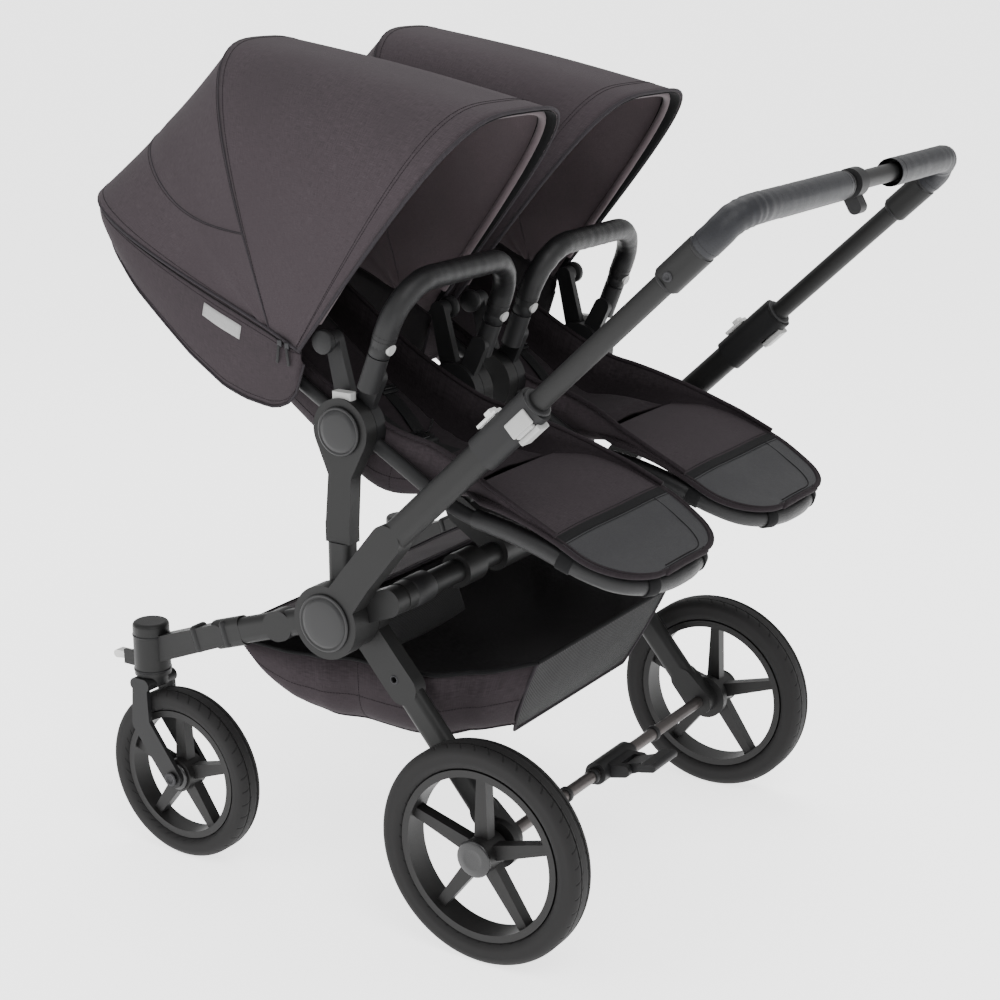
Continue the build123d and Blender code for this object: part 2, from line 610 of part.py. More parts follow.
    with BuildPart() as canopy_bow:
        bow_plane = Plane(origin=(cx, *CANOPY_PIVOT), x_dir=(1, 0, 0),
                          z_dir=(0, -sin(radians(BOW_ANGLE)), cos(radians(BOW_ANGLE))))
        with BuildLine(bow_plane) as bow:
            FilletPolyline((BOW_HALF, 6), (BOW_HALF, BOW_HEIGHT), (-BOW_HALF, BOW_HEIGHT), (-BOW_HALF, 6), radius=120)
        with BuildSketch(Plane(origin=bow.line @ 0, z_dir=bow.line % 0)):
            Circle(4)
        sweep(path=bow.line)
        for hand in (-1, 1):
            disc(CANOPY_PIVOT, 11, cx + hand * (BOW_HALF - 5.5), cx + hand * (BOW_HALF + 5))
            disc(CANOPY_PIVOT, 4, cx + hand * (BOW_HALF - 8), cx + hand * (BOW_HALF + 7), Mode.SUBTRACT)
    save(canopy_bow.part, f"canopy_bow_{side}")

    with BuildPart() as bumper_bar:
        leg_start = along(SOCKET_BASE, LEG_ANGLE, SOCKET_LENGTH + SEATED)
        bar_plane = Plane(origin=(cx, *leg_start), x_dir=(1, 0, 0),
                          z_dir=(0, -sin(radians(LEG_ANGLE)), cos(radians(LEG_ANGLE))))
        with BuildLine(bar_plane) as bar:
            FilletPolyline((BUMPER_X, 0), (BUMPER_X, BAR_RISE), (-BUMPER_X, BAR_RISE), (-BUMPER_X, 0), radius=66)
        with BuildSketch(Plane(origin=bar.line @ 0, z_dir=bar.line % 0)):
            Circle(SOCKET_R)
        sweep(path=bar.line)
        for hand in (-1, 1):
            foot = cx + hand * BUMPER_X
            rod((foot, *along(SOCKET_BASE, LEG_ANGLE, 6)),
                (foot, *along(leg_start, LEG_ANGLE, 4)), BUMPER_PLUG_R - RUNNING)
        for hand in (-1, 1):
            foot = cx + hand * BUMPER_X
            rod((foot, *along(SOCKET_BASE, LEG_ANGLE, BUTTON_AT, -9)),
                (foot, *along(SOCKET_BASE, LEG_ANGLE, BUTTON_AT, -20)), 8, Mode.SUBTRACT)
    save(bumper_bar.part, f"bumper_bar_{side}")

    with BuildPart() as bumper_button:
        for hand in (-1, 1):
            foot = cx + hand * BUMPER_X
            rod((foot, *along(SOCKET_BASE, LEG_ANGLE, BUTTON_AT, -12)),
                (foot, *along(SOCKET_BASE, LEG_ANGLE, BUTTON_AT, -17)), 8 - SLIDING)
    save(bumper_button.part, f"bumper_button_{side}")

    with BuildPart() as harness:
        for hand in (-1, 1):
            strap = Plane(origin=(cx + hand * 45, -600, 892), x_dir=(1, 0, 0), z_dir=(0, 0.8066, -0.5911))
            with BuildSketch(strap):
                Rectangle(26, 4)
            extrude(amount=400)
        with BuildSketch(side_plane(cx - 70)):
            with BuildLine():
                Polyline((-280, 656.5), (-231, 620.6), (-231, 626), (-280, 662), close=True)
            make_face()
        extrude(amount=140)
        with BuildSketch(side_plane(cx - 13)):
            with BuildLine():
                Polyline((-222, 617), (-110, 621.5), (-110, 627), (-231, 626), close=True)
            make_face()
        extrude(amount=26)
        with Locations((cx, -205, 633)):
            Box(44, 52, 16)
    save(harness.part, f"harness_{side}")
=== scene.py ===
import math

import bmesh
import bpy
import numpy as np
from mathutils import Matrix, Vector, noise


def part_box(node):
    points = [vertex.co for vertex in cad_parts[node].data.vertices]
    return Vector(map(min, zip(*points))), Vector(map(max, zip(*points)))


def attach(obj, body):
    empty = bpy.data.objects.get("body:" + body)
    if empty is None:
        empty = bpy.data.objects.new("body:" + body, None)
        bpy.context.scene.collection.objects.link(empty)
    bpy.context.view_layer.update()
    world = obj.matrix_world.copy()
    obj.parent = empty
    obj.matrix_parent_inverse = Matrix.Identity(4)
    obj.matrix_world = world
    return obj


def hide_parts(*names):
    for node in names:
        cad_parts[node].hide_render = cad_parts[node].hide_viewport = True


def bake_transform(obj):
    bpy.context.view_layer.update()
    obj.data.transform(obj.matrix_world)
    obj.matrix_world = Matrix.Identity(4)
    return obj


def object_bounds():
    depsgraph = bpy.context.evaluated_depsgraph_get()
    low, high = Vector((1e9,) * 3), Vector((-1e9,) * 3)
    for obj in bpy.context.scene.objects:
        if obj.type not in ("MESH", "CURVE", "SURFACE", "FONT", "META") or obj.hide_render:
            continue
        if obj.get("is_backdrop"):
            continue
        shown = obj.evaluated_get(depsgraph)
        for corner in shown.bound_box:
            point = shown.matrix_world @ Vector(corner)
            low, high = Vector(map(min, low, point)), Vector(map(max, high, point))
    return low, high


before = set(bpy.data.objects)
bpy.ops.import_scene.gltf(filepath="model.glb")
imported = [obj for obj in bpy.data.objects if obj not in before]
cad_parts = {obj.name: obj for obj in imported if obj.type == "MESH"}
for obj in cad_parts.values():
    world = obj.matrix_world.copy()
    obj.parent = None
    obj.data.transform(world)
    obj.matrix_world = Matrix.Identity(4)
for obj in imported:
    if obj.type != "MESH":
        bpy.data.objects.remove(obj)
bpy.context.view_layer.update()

MM = 0.001
SIDES = (("left", 1), ("right", -1))
SEAT_X = 175.0
CANOPY_PIVOT = (-264.0, 815.0)
CANOPY_HUB = [(-5, 0), (-5, 15), (-3.6, 16.4), (3.6, 16.4), (5, 15), (5, 0)]
MID_BASE = (-349.0, 826.0)
LEG_ANGLE = 68.5
SOCKET_BASE = (-201.0, 757.0)
BAR = (338.0, 1032.0)
COLLAR_TOP = (80.7, 781.8)
TUBE_ANGLE = 43.7
REAR_HUB = (341.0, 0.0, 156.0)
FRONT_HUB = (318.0, -547.0, 130.0)
FOLD_HUB = (-244, 438)
SEAT_DISC = (-236, 699)
CASTER = (318, -603)
ARM_END = (-443, 372)
ARM_ANGLE = 18.35
CROSS_TUBE = (-162, 472)
LEG_HOLE = (-172, 352)


# ---------------------------------------------------------------- finishes
class Value:
    """A number socket that adds a Math node for each operation it is used in."""

    def __init__(self, look, socket):
        self.look = look
        self.socket = socket

    def sum_with(self, operation, first, second=None):
        inputs = {0: first}
        if second is not None:
            inputs[1] = second
        return self.look.node("ShaderNodeMath", {"operation": operation}, inputs).value()

    def __add__(self, other):
        return self.sum_with("ADD", self, other)

    __radd__ = __add__

    def __sub__(self, other):
        return self.sum_with("SUBTRACT", self, other)

    def __rsub__(self, other):
        return self.sum_with("SUBTRACT", other, self)

    def __mul__(self, other):
        return self.sum_with("MULTIPLY", self, other)

    __rmul__ = __mul__

    def __pow__(self, other):
        return self.sum_with("POWER", self, other)

    def sine(self):
        return self.sum_with("SINE", self)

    def size(self):
        return self.sum_with("ABSOLUTE", self)


class Made:
    """A node, and its outputs as sockets or values."""

    def __init__(self, look, node):
        self.look = look
        self.node = node

    def out(self, key=0):
        return self.node.outputs[key]

    def value(self, key=0):
        return Value(self.look, self.node.outputs[key])


class Look:
    """One finish: a Principled shader with constants, and the nodes that feed it."""

    def __init__(self, name, **constants):
        self.material = bpy.data.materials.new(name)
        self.material.use_nodes = True
        self.tree = self.material.node_tree
        self.shader = self.tree.nodes["Principled BSDF"]
        for key, value in constants.items():
            self.shader.inputs[key.replace("_", " ")].default_value = value

    def node(self, kind, settings=None, inputs=None):
        made = self.tree.nodes.new(kind)
        for key, value in (settings or {}).items():
            setattr(made, key, value)
        for key, value in (inputs or {}).items():
            if isinstance(value, Value):
                self.tree.links.new(value.socket, made.inputs[key])
            elif isinstance(value, bpy.types.NodeSocket):
                self.tree.links.new(value, made.inputs[key])
            else:
                made.inputs[key].default_value = value
        return Made(self, made)

    def coords(self, kind="Object", scale=(1, 1, 1), location=(0, 0, 0), turn=(0, 0, 0)):
        source = self.node("ShaderNodeTexCoord").out(kind)
        inputs = {"Vector": source, "Scale": scale, "Location": location, "Rotation": turn}
        return self.node("ShaderNodeMapping", {}, inputs).out()

    def noise(self, where, scale, detail=3.0, roughness=0.55, distortion=0.0):
        inputs = {"Vector": where, "Scale": scale, "Detail": detail, "Roughness": roughness,
                  "Distortion": distortion}
        return self.node("ShaderNodeTexNoise", {}, inputs).value("Fac")

    def blend(self, first, second, factor):
        return self.node("ShaderNodeMix", {"data_type": "RGBA"}, {0: factor, 6: first, 7: second}).out(2)

    def steps(self, factor, low, high):
        inputs = {"Value": factor, "From Min": low, "From Max": high}
        return self.node("ShaderNodeMapRange", {}, inputs).value()

    def axes(self, where):
        split = self.node("ShaderNodeSeparateXYZ", {}, {0: where})
        return split.value(0), split.value(1), split.value(2)

    def finish(self, colour=None, roughness=None, height=None, strength=0.3, depth=0.001):
        links = self.tree.links
        if colour is not None:
            links.new(colour, self.shader.inputs["Base Color"])
        if roughness is not None:
            links.new(roughness.socket, self.shader.inputs["Roughness"])
        if height is not None:
            inputs = {"Strength": strength, "Distance": depth, "Height": height}
            links.new(self.node("ShaderNodeBump", {}, inputs).out(), self.shader.inputs["Normal"])
        return self.material


def rgb(colour, share=1.0):
    return tuple(min(1.0, c * share) for c in colour) + (1.0,)


def melange(name, colour, kind="UV", thread=0.0011, fleck=0.55, sheen=0.02):
    """Woven cloth of mixed light and dark yarns, with slubs in both directions."""
    look = Look(name, Sheen_Weight=sheen, Sheen_Roughness=0.5, Specular_IOR_Level=0.08)
    fine = look.coords(kind)
    u, v, w = look.axes(fine)
    turn = 2 * math.pi / thread
    warp = ((u + w * 0.7) * turn).sine()
    weft = ((v + w * 0.3) * turn).sine()
    weave = warp * weft * 0.5 + 0.5
    along = look.noise(look.coords(kind, (90, 1400, 90)), 1.0, 3.0)
    across = look.noise(look.coords(kind, (1400, 90, 1400)), 1.0, 3.0)
    cloud = look.noise(look.coords("Object"), 7.0, 2.0)
    speck = look.noise(fine, 1900.0, 1.0)
    slub = look.steps(along * 0.5 + across * 0.5, 0.36, 0.64)
    tone = look.blend(rgb(colour, 1 - fleck), rgb(colour, 1 + fleck), slub)
    tone = look.blend(tone, rgb(colour, 1 + 1.5 * fleck), look.steps(speck, 0.6, 0.75) * 0.35)
    # Painted shade: darker in the low parts of the weave, between the threads, where the bump is lowest.
    tone = look.blend(tone, rgb(colour, 0.55), (1 - weave) * 0.28)
    tone = look.blend(tone, rgb(colour, 0.82), look.steps(cloud, 0.42, 0.62) * 0.4)
    rough = 0.80 + slub * 0.12
    return look.finish(tone, rough, weave * 0.6 + slub * 0.5, 0.28, 0.0004)


def leather(name, colour, grain=620.0, rough=0.42, coat=0.12, crease=0.35):
    """Grained soft leather or leatherette with fine creases and worn, smoother high spots."""
    look = Look(name, Coat_Weight=coat * 0.5, Coat_Roughness=0.4, Specular_IOR_Level=0.24)
    where = look.coords("Object")
    cells = look.node("ShaderNodeTexVoronoi", {"feature": "DISTANCE_TO_EDGE"},
                      {"Vector": where, "Scale": grain}).value("Distance")
    broad = look.noise(where, 55.0, 4.0, 0.6, 0.6)
    fold = look.noise(look.coords("Object", (60, 160, 160)), 1.0, 3.0, 0.5, 0.8)
    bead = look.steps(cells, 0.0, 0.22)
    # Base tone: painted shade in the grain crevices near the cell edges, mixed with random tone from the broad noise.
    tone = look.blend(rgb(colour, 0.6), rgb(colour, 1.2), bead * 0.7 + broad * 0.3)
    tone = look.blend(tone, rgb(colour, 1.7), look.steps(broad, 0.55, 0.75) * 0.35)
    ruff = rough + broad * 0.16 - bead * 0.06
    return look.finish(tone, ruff, bead * 0.5 + fold * crease * 2, 0.35, 0.0006)


def moulded(name, colour, rough=0.5, spark=2300.0, strength=0.12, metal=0.0, wear=0.25, coat=0.0):
    """Moulded plastic or powder coat: a fine sparked texture, rubbed patches and dust in the grain."""
    look = Look(name, Metallic=metal, Coat_Weight=coat * 0.6, Coat_Roughness=0.22, Specular_IOR_Level=0.26)
    where = look.coords("Object")
    grain = look.noise(where, spark, 2.0)
    patch = look.noise(where, 22.0, 5.0, 0.62)
    scuff = look.noise(look.coords("Object", (30, 420, 130), (0, 0, 0), (0.5, 0.2, 0.3)), 1.0, 4.0)
    rub = look.steps(scuff, 0.62, 0.78) * look.steps(patch, 0.45, 0.7)
    tone = look.blend(rgb(colour, 0.86), rgb(colour, 1.12), patch)
    tone = look.blend(tone, rgb(tuple(c + 0.012 for c in colour), 1.2), rub * wear)
    ruff = rough + patch * 0.10 - rub * 0.08 + grain * 0.05
    return look.finish(tone, ruff, grain, strength, 0.0004)


def webbing(name, colour, rib=0.0016, strength=0.4):
    """Flat polyester webbing: raised ribs along the strap, and a rolled edge."""
    look = Look(name, Sheen_Weight=0.05, Sheen_Roughness=0.4, Specular_IOR_Level=0.15)
    u, v, w = look.axes(look.coords("UV"))
    ribs = (u * (2 * math.pi / rib)).sine() * 0.5 + 0.5
    pick = (v * (2 * math.pi / 0.0022) + ribs * 3.1).sine() * 0.5 + 0.5
    fade = look.noise(look.coords("Object"), 30.0, 3.0)
    # Painted light and shade on the rib relief: lighter on the raised ribs and picks, darker in the valleys between
    # them.
    tone = look.blend(rgb(colour, 0.55), rgb(colour, 1.5), ribs * pick)
    tone = look.blend(tone, rgb(colour, 1.8), look.steps(fade, 0.5, 0.7) * 0.3)
    height = ribs * 0.6 + pick * 0.4 * min(1.0, 0.0016 / rib)
    return look.finish(tone, 0.62 + fade * 0.15, height, strength, max(0.0005, rib * 0.25))


def foam_tyre(name, hub, tread):
    """Dark foam rubber with two rings of curved sipes on the shoulders and fine skin pores."""
    look = Look(name, Specular_IOR_Level=0.2)
    x, y, z = look.axes(look.coords("Object"))
    angle = look.node("ShaderNodeMath", {"operation": "ARCTAN2"}, {0: z - hub[2] * MM, 1: y - hub[1] * MM}).value()
    reach = (x.size() - hub[0] * MM).size()
    radial = ((y - hub[1] * MM) ** 2 + (z - hub[2] * MM) ** 2) ** 0.5
    curve = angle * tread + reach * 190.0 + (radial * 240.0).sine() * 0.9
    sipe = 1 - look.steps(curve.sine().size(), 0.0, 0.30)
    crown = look.steps(reach, 0.0042, 0.0052)
    shoulder = crown * (1 - look.steps(reach, 0.0185, 0.0195))
    ring = 1 - look.steps((reach - 0.0055).size(), 0.0004, 0.0011)
    cut = sipe * shoulder
    pores = look.noise(look.coords("Object"), 900.0, 3.0)
    dust = look.noise(look.coords("Object"), 26.0, 5.0, 0.65)
    tone = look.blend((0.0075, 0.0072, 0.0075, 1), (0.014, 0.0135, 0.0135, 1), dust)
    # Painted shade: darker inside the cut sipes.
    tone = look.blend(tone, (0.003, 0.003, 0.003, 1), cut * 0.8)
    rough = 0.66 + dust * 0.14 + cut * 0.1
    return look.finish(tone, rough, pores * 0.05 + 1 - cut * 0.9 - ring * 0.5, 0.75, 0.0016)


def brushed(name, colour, rough=0.34):
    """Gunmetal tube with fine drawing lines round it and handling marks."""
    look = Look(name, Metallic=0.85)
    lines = look.noise(look.coords("Object", (1300, 60, 60)), 1.0, 3.0)
    marks = look.noise(look.coords("Object"), 35.0, 5.0, 0.6)
    tone = look.blend(rgb(colour, 0.75), rgb(colour, 1.25), lines * 0.6 + marks * 0.4)
    return look.finish(tone, rough + marks * 0.16 + lines * 0.06, lines, 0.12, 0.0003)


def pocket_net(name, colour):
    """Open knitted net: bright yarn round dark holes; the holes are painted shade, not cut through."""
    look = Look(name, Sheen_Weight=0.1)
    u, v, w = look.axes(look.coords("UV"))
    turn = 2 * math.pi / 0.0042
    hole = look.steps(((u + v) * turn).sine() * ((u - v) * turn).sine(), -0.15, 0.45)
    lint = look.noise(look.coords("UV"), 500.0, 3.0)
    # Painted shade: the holes are painted near black in place of what lies behind the net.
    tone = look.blend(rgb(colour, 1.0), rgb(colour, 0.08), hole)
    tone = look.blend(tone, rgb(colour, 1.2), lint * 0.2)
    return look.finish(tone, 0.7 + lint * 0.2, 1 - hole, 0.6, 0.0008)


MAUVE = (0.040, 0.0325, 0.0365)
MAUVE_DEEP = (0.017, 0.0135, 0.0155)
LINING = (0.085, 0.067, 0.073)

hood_cloth = melange("hood_melange", MAUVE, fleck=0.34)
flap_cloth = melange("flap_melange", tuple(c * 0.86 for c in MAUVE), fleck=0.34)
lining_cloth = melange("hood_lining", LINING, fleck=0.16, thread=0.0008, sheen=0.12)
seat_cloth = melange("seat_melange", tuple(c * 0.80 for c in MAUVE), fleck=0.42)
# Painted shade: the seat cloth at half brightness, used on the inner face of the seat tub for the shade inside the
# seat.
seat_inner_painted_shade = melange("seat_inner_melange", tuple(c * 0.50 for c in MAUVE), fleck=0.42)
seat_cloth_3d = melange("seat_pad_melange", MAUVE_DEEP, "Object", fleck=0.42)
basket_cloth = melange("basket_melange", tuple(c * 0.82 for c in MAUVE), fleck=0.36)
basket_inner = melange("basket_lining", (0.042, 0.040, 0.042), fleck=0.3)
dark_cloth = melange("dark_lining", (0.013, 0.0115, 0.0125), fleck=0.3, thread=0.0009, sheen=0.03)
band_cloth = melange("inner_band", (0.008, 0.008, 0.0085), fleck=0.2, thread=0.0009, sheen=0.02)
piping_cloth = melange("grey_piping", (0.026, 0.023, 0.026), "Object", fleck=0.3)
stitch_thread = melange("stitch_thread", (0.014, 0.011, 0.013), "Object", thread=0.0006, fleck=0.3)
dark_thread = melange("dark_thread", (0.012, 0.0115, 0.012), "Object", thread=0.0006, fleck=0.3)
bar_leather = leather("bar_leatherette", (0.0055, 0.0055, 0.006), 700.0, 0.40)
grip_leather = leather("grip_leather", (0.0095, 0.010, 0.0125), 560.0, 0.44, 0.10, 0.8)
foot_leather = leather("foot_leatherette", (0.0175, 0.0175, 0.0195), 640.0, 0.50, 0.04, 0.2)
black_web = webbing("black_webbing", (0.006, 0.006, 0.0065))
ribbed_panel = webbing("ribbed_panel", (0.0070, 0.0070, 0.0073), 0.0044, 1.0)
net = pocket_net("pocket_net", (0.10, 0.10, 0.103))
label_cloth = melange("blank_label", (0.30, 0.30, 0.30), fleck=0.12, thread=0.0006, sheen=0.1)

frame_coat = moulded("frame_powder_coat", (0.0105, 0.0105, 0.0105), 0.42, 2600.0, 0.14, 0.25)
black_plastic = moulded("moulded_black", (0.0065, 0.0065, 0.007), 0.47, 1900.0, 0.16)
cap_plastic = moulded("cap_black", (0.010, 0.010, 0.0105), 0.38, 2600.0, 0.06, wear=0.15, coat=0.15)
gloss_plastic = moulded("gloss_cap", (0.007, 0.007, 0.0075), 0.16, 2600.0, 0.02, wear=0.1, coat=0.6)
wheel_plastic = moulded("wheel_black", (0.0075, 0.0072, 0.0072), 0.44, 1700.0, 0.18)
white_plastic = moulded("lever_white", (0.55, 0.55, 0.54), 0.36, 2600.0, 0.05, wear=0.12)
grey_plastic = moulded("button_grey", (0.33, 0.33, 0.325), 0.38, 2600.0, 0.06, wear=0.12)
axle_steel = brushed("axle_gunmetal", (0.085, 0.076, 0.074))
bolt_steel = brushed("bolt_steel", (0.035, 0.035, 0.037), 0.42)
rear_rubber = foam_tyre("rear_foam_tyre", REAR_HUB, 22.0)
front_rubber = foam_tyre("front_foam_tyre", FRONT_HUB, 19.0)


# ---------------------------------------------------------------- making pieces
def along(point, angle, distance, offset=0.0):
    """A side-plane point a distance along a line and an offset to its upper side."""
    c, s = math.cos(math.radians(angle)), math.sin(math.radians(angle))
    return (point[0] + c * distance - s * offset, point[1] + s * distance + c * offset)


def piece(bm, name, *materials):
    """The bmesh as a smooth object at the origin."""
    mesh = bpy.data.meshes.new(name)
    bm.to_mesh(mesh)
    bm.free()
    obj = bpy.data.objects.new(name, mesh)
    bpy.context.scene.collection.objects.link(obj)
    for material in materials:
        mesh.materials.append(material)
    for polygon in mesh.polygons:
        polygon.use_smooth = True
    return obj


def thicken(obj, wall, inner=0, rim=0, offset=-1.0):
    solid = obj.modifiers.new("wall", "SOLIDIFY")
    solid.thickness = wall * MM
    solid.offset = offset
    solid.material_offset = inner
    solid.material_offset_rim = rim
    solid.use_even_offset = False
    return obj


def soften(obj, levels=1):
    sub = obj.modifiers.new("soft", "SUBSURF")
    sub.levels = levels
    sub.render_levels = levels
    return obj


def rounded_edges(obj, width, segments=2):
    bevel = obj.modifiers.new("edge", "BEVEL")
    bevel.width = width * MM
    bevel.segments = segments
    bevel.limit_method = "ANGLE"
    return obj


def lengths(place, u_steps=24, v_steps=24):
    """Mean width and length in metres of the surface that place(u, v) gives in millimetres."""
    rows = np.array([[place(i / u_steps, j / v_steps) for i in range(u_steps + 1)] for j in range(v_steps + 1)]) * MM
    wide = np.linalg.norm(np.diff(rows, axis=1), axis=2).sum(1)
    long = np.linalg.norm(np.diff(rows, axis=0), axis=2).sum(0)
    return wide, long


def cloth(name, place, centre, materials, counts=(32, 32), wall=2.0, inner=0, rim=0):
    """A sheet whose points come from place(u, v), facing away from centre."""
    wide, long = lengths(place)
    bm = bmesh.new()
    bmesh.ops.create_grid(bm, x_segments=counts[0], y_segments=counts[1], size=0.5)
    uv = bm.loops.layers.uv.new("UVMap")
    for face in bm.faces:
        for loop in face.loops:
            u, v = loop.vert.co.x + 0.5, loop.vert.co.y + 0.5
            loop[uv].uv = (u * float(wide.mean()), v * float(long.mean()))
    for vert in bm.verts:
        vert.co = Vector(place(vert.co.x + 0.5, vert.co.y + 0.5)) * MM
    bm.normal_update()
    middle = Vector(centre) * MM
    facing = sum((f.calc_center_median() - middle).dot(f.normal) * f.calc_area() for f in bm.faces)
    if facing < 0:
        bmesh.ops.reverse_faces(bm, faces=bm.faces[:])
    obj = piece(bm, name, *materials)
    if wall:
        thicken(obj, wall, inner, rim)
    obj["cut"] = [float(wide.max()), float(long.max())]
    return obj


def declare(obj):
    """Works out the share of a sheet's cut that its area fills; the result is not kept."""
    bm = bmesh.new()
    bm.from_mesh(obj.data)
    area = sum(f.calc_area() for f in bm.faces)
    bm.free()
    width, length = (round(x, 3) for x in obj["cut"])
    share = min(1.0, max(0.32, area / (width * length)))
    share * width * length


def lifted(place, u, v, centre, lift):
    """A point of place(u, v), raised off the surface on the side away from centre."""
    step = 0.01
    here = Vector(place(u, v))
    du = Vector(place(min(1, u + step), v)) - Vector(place(max(0, u - step), v))
    dv = Vector(place(u, min(1, v + step))) - Vector(place(u, max(0, v - step)))
    normal = du.cross(dv)
    if normal.length < 1e-9:
        return here
    normal.normalize()
    if (here - Vector(centre)).dot(normal) < 0:
        normal.negate()
    return here + normal * lift


def through(a, b, c, d, t):
    """A point a share t of the way from b to c on the smooth curve through four points."""
    return 0.5 * ((2 * b) + (c - a) * t + (2 * a - 5 * b + 4 * c - d) * t * t + (3 * b - a - 3 * c + d) * t ** 3)


def smooth_line(points, steps=8):
    """Points on a smooth curve through the given points."""
    pts = [Vector(p) for p in points]
    last = len(pts) - 1
    made = []
    for i in range(last):
        four = (pts[max(i - 1, 0)], pts[i], pts[i + 1], pts[min(i + 2, last)])
        made += [through(*four, k / steps) for k in range(steps)]
    return made + [pts[-1]]


def spaced(points, step):
    """Points a fixed step apart along a line of points, with the line's direction at each."""
    pts = np.array([tuple(p) for p in points])
    run = np.concatenate([[0], np.cumsum(np.linalg.norm(np.diff(pts, axis=0), axis=1))])
    count = max(2, int(run[-1] / step))
    at = np.linspace(0, run[-1], count)
    out = np.stack([np.interp(at, run, pts[:, k]) for k in range(3)], 1)
    ways = np.gradient(out, axis=0)
    return [(Vector(p), Vector(w).normalized()) for p, w in zip(out, ways)]


def cord_line(name, points, radius, material, closed=False, sides=3, radii=None):
    """A round tube along points in millimetres, as a mesh."""
    curve = bpy.data.curves.new(name, "CURVE")
    curve.dimensions = "3D"
    curve.bevel_depth = radius * MM
    curve.bevel_resolution = sides
    curve.use_fill_caps = True
    spline = curve.splines.new("POLY")
    spline.points.add(len(points) - 1)
    for i, (target, point) in enumerate(zip(spline.points, points)):
        target.co = (*(Vector(point) * MM), 1)
        if radii is not None:
            target.radius = radii[i]
    spline.use_cyclic_u = closed
    maker = bpy.data.objects.new(name, curve)
    bpy.context.scene.collection.objects.link(maker)
    bpy.context.view_layer.update()
    mesh = bpy.data.meshes.new_from_object(maker.evaluated_get(bpy.context.evaluated_depsgraph_get()))
    bpy.data.objects.remove(maker)
    obj = bpy.data.objects.new(name, mesh)
    bpy.context.scene.collection.objects.link(obj)
    mesh.materials.clear()
    mesh.materials.append(material)
    for polygon in mesh.polygons:
        polygon.use_smooth = True
    return obj


def add_stitches(bm, points, pitch=4.4, length=3.0, radius=0.42):
    for point, way in spaced(points, pitch):
        turn = way.to_track_quat("Z", "Y").to_matrix().to_4x4()
        place = Matrix.Translation(point * MM) @ turn
        bmesh.ops.create_cone(bm, cap_ends=True, segments=6, radius1=radius * MM, radius2=radius * MM,
                              depth=length * MM, matrix=place)


def stitched(name, lines, material, pitch=4.4, length=3.0, radius=0.42):
    bm = bmesh.new()
    for line in lines:
        add_stitches(bm, line, pitch, length, radius)
    return piece(bm, name, material)


def turned(name, profile, centre, axis, material, steps=48, arc=2 * math.pi):
    """A profile of (distance along the axis, radius) spun about an axis through centre."""
    way = Vector(axis).normalized()
    side = way.orthogonal().normalized()
    bm = bmesh.new()
    verts = [bm.verts.new((Vector(centre) + way * a + side * max(r, 0.0)) * MM) for a, r in profile]
    edges = [bm.edges.new(pair) for pair in zip(verts, verts[1:])]
    bmesh.ops.spin(bm, geom=verts + edges, cent=Vector(centre) * MM, axis=way, angle=arc, steps=steps,
                   use_merge=True)
    bmesh.ops.remove_doubles(bm, verts=bm.verts[:], dist=1e-6)
    bmesh.ops.recalc_face_normals(bm, faces=bm.faces[:])
    return piece(bm, name, material)


def on(body, slot, *objs):
    """Gives the pieces the body that they ride; the slot is not used."""
    for obj in objs:
        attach(obj, body)


def block(name, size, centre, material, turn=(0, 0, 0), edge=1.5, segments=3, taper=1.0):
    """A moulded block with rounded edges; turn is in degrees, the size in millimetres."""
    bm = bmesh.new()
    bmesh.ops.create_cube(bm, size=1.0)
    for vert in bm.verts:
        narrow = taper if vert.co.z > 0 else 1.0
        vert.co = Vector((vert.co.x * size[0] * narrow, vert.co.y * size[1] * narrow, vert.co.z * size[2])) * MM
    bmesh.ops.bevel(bm, geom=bm.edges[:], offset=edge * MM, offset_type="OFFSET", segments=segments,
                    profile=0.5, affect="EDGES", material=-1, clamp_overlap=True)
    spin = Matrix.Rotation(math.radians(turn[2]), 4, "Z") @ Matrix.Rotation(math.radians(turn[1]), 4, "Y") \
        @ Matrix.Rotation(math.radians(turn[0]), 4, "X")
    bmesh.ops.transform(bm, matrix=Matrix.Translation(Vector(centre) * MM) @ spin, verts=bm.verts[:])
    return piece(bm, name, material)


def join(name, *parts):
    """The pieces as one object, each with its modifiers applied first."""
    graph = bpy.context.evaluated_depsgraph_get()
    bm = bmesh.new()
    materials = []
    for part in parts:
        mesh = bpy.data.meshes.new_from_object(part.evaluated_get(graph))
        offset = len(materials)
        materials += list(mesh.materials)
        for polygon in mesh.polygons:
            polygon.material_index += offset
        bm.from_mesh(mesh)
        bpy.data.meshes.remove(mesh)
    for part in parts:
        bpy.data.objects.remove(part)
    return piece(bm, name, *materials)


def strap(name, points, across, width, wall, material, centre):
    """A flat strap along points, its width laid along across."""
    line = [p for p, w in spaced(smooth_line(points, 10), 6.0)]
    way = Vector(across).normalized()
    last = len(line) - 1

    def place(u, v):
        at = min(last - 1e-6, v * last)
        i = int(at)
        return tuple(line[i].lerp(line[i + 1], at - i) + way * width * (u - 0.5))

    obj = cloth(name, place, centre, (material,), (4, max(8, last)), wall)
    rounded_edges(obj, 0.5)
    return obj


# ---------------------------------------------------------------- hood shapes
def arch_table(height, half, power):
    turn = np.linspace(0, math.pi, 721)
    x = half * np.sign(np.cos(turn)) * np.abs(np.cos(turn)) ** (2 / power)
    h = height * np.abs(np.sin(turn)) ** (2 / power)
    run = np.concatenate([[0], np.cumsum(np.hypot(np.diff(x), np.diff(h)))])
    return run / run[-1], x, h


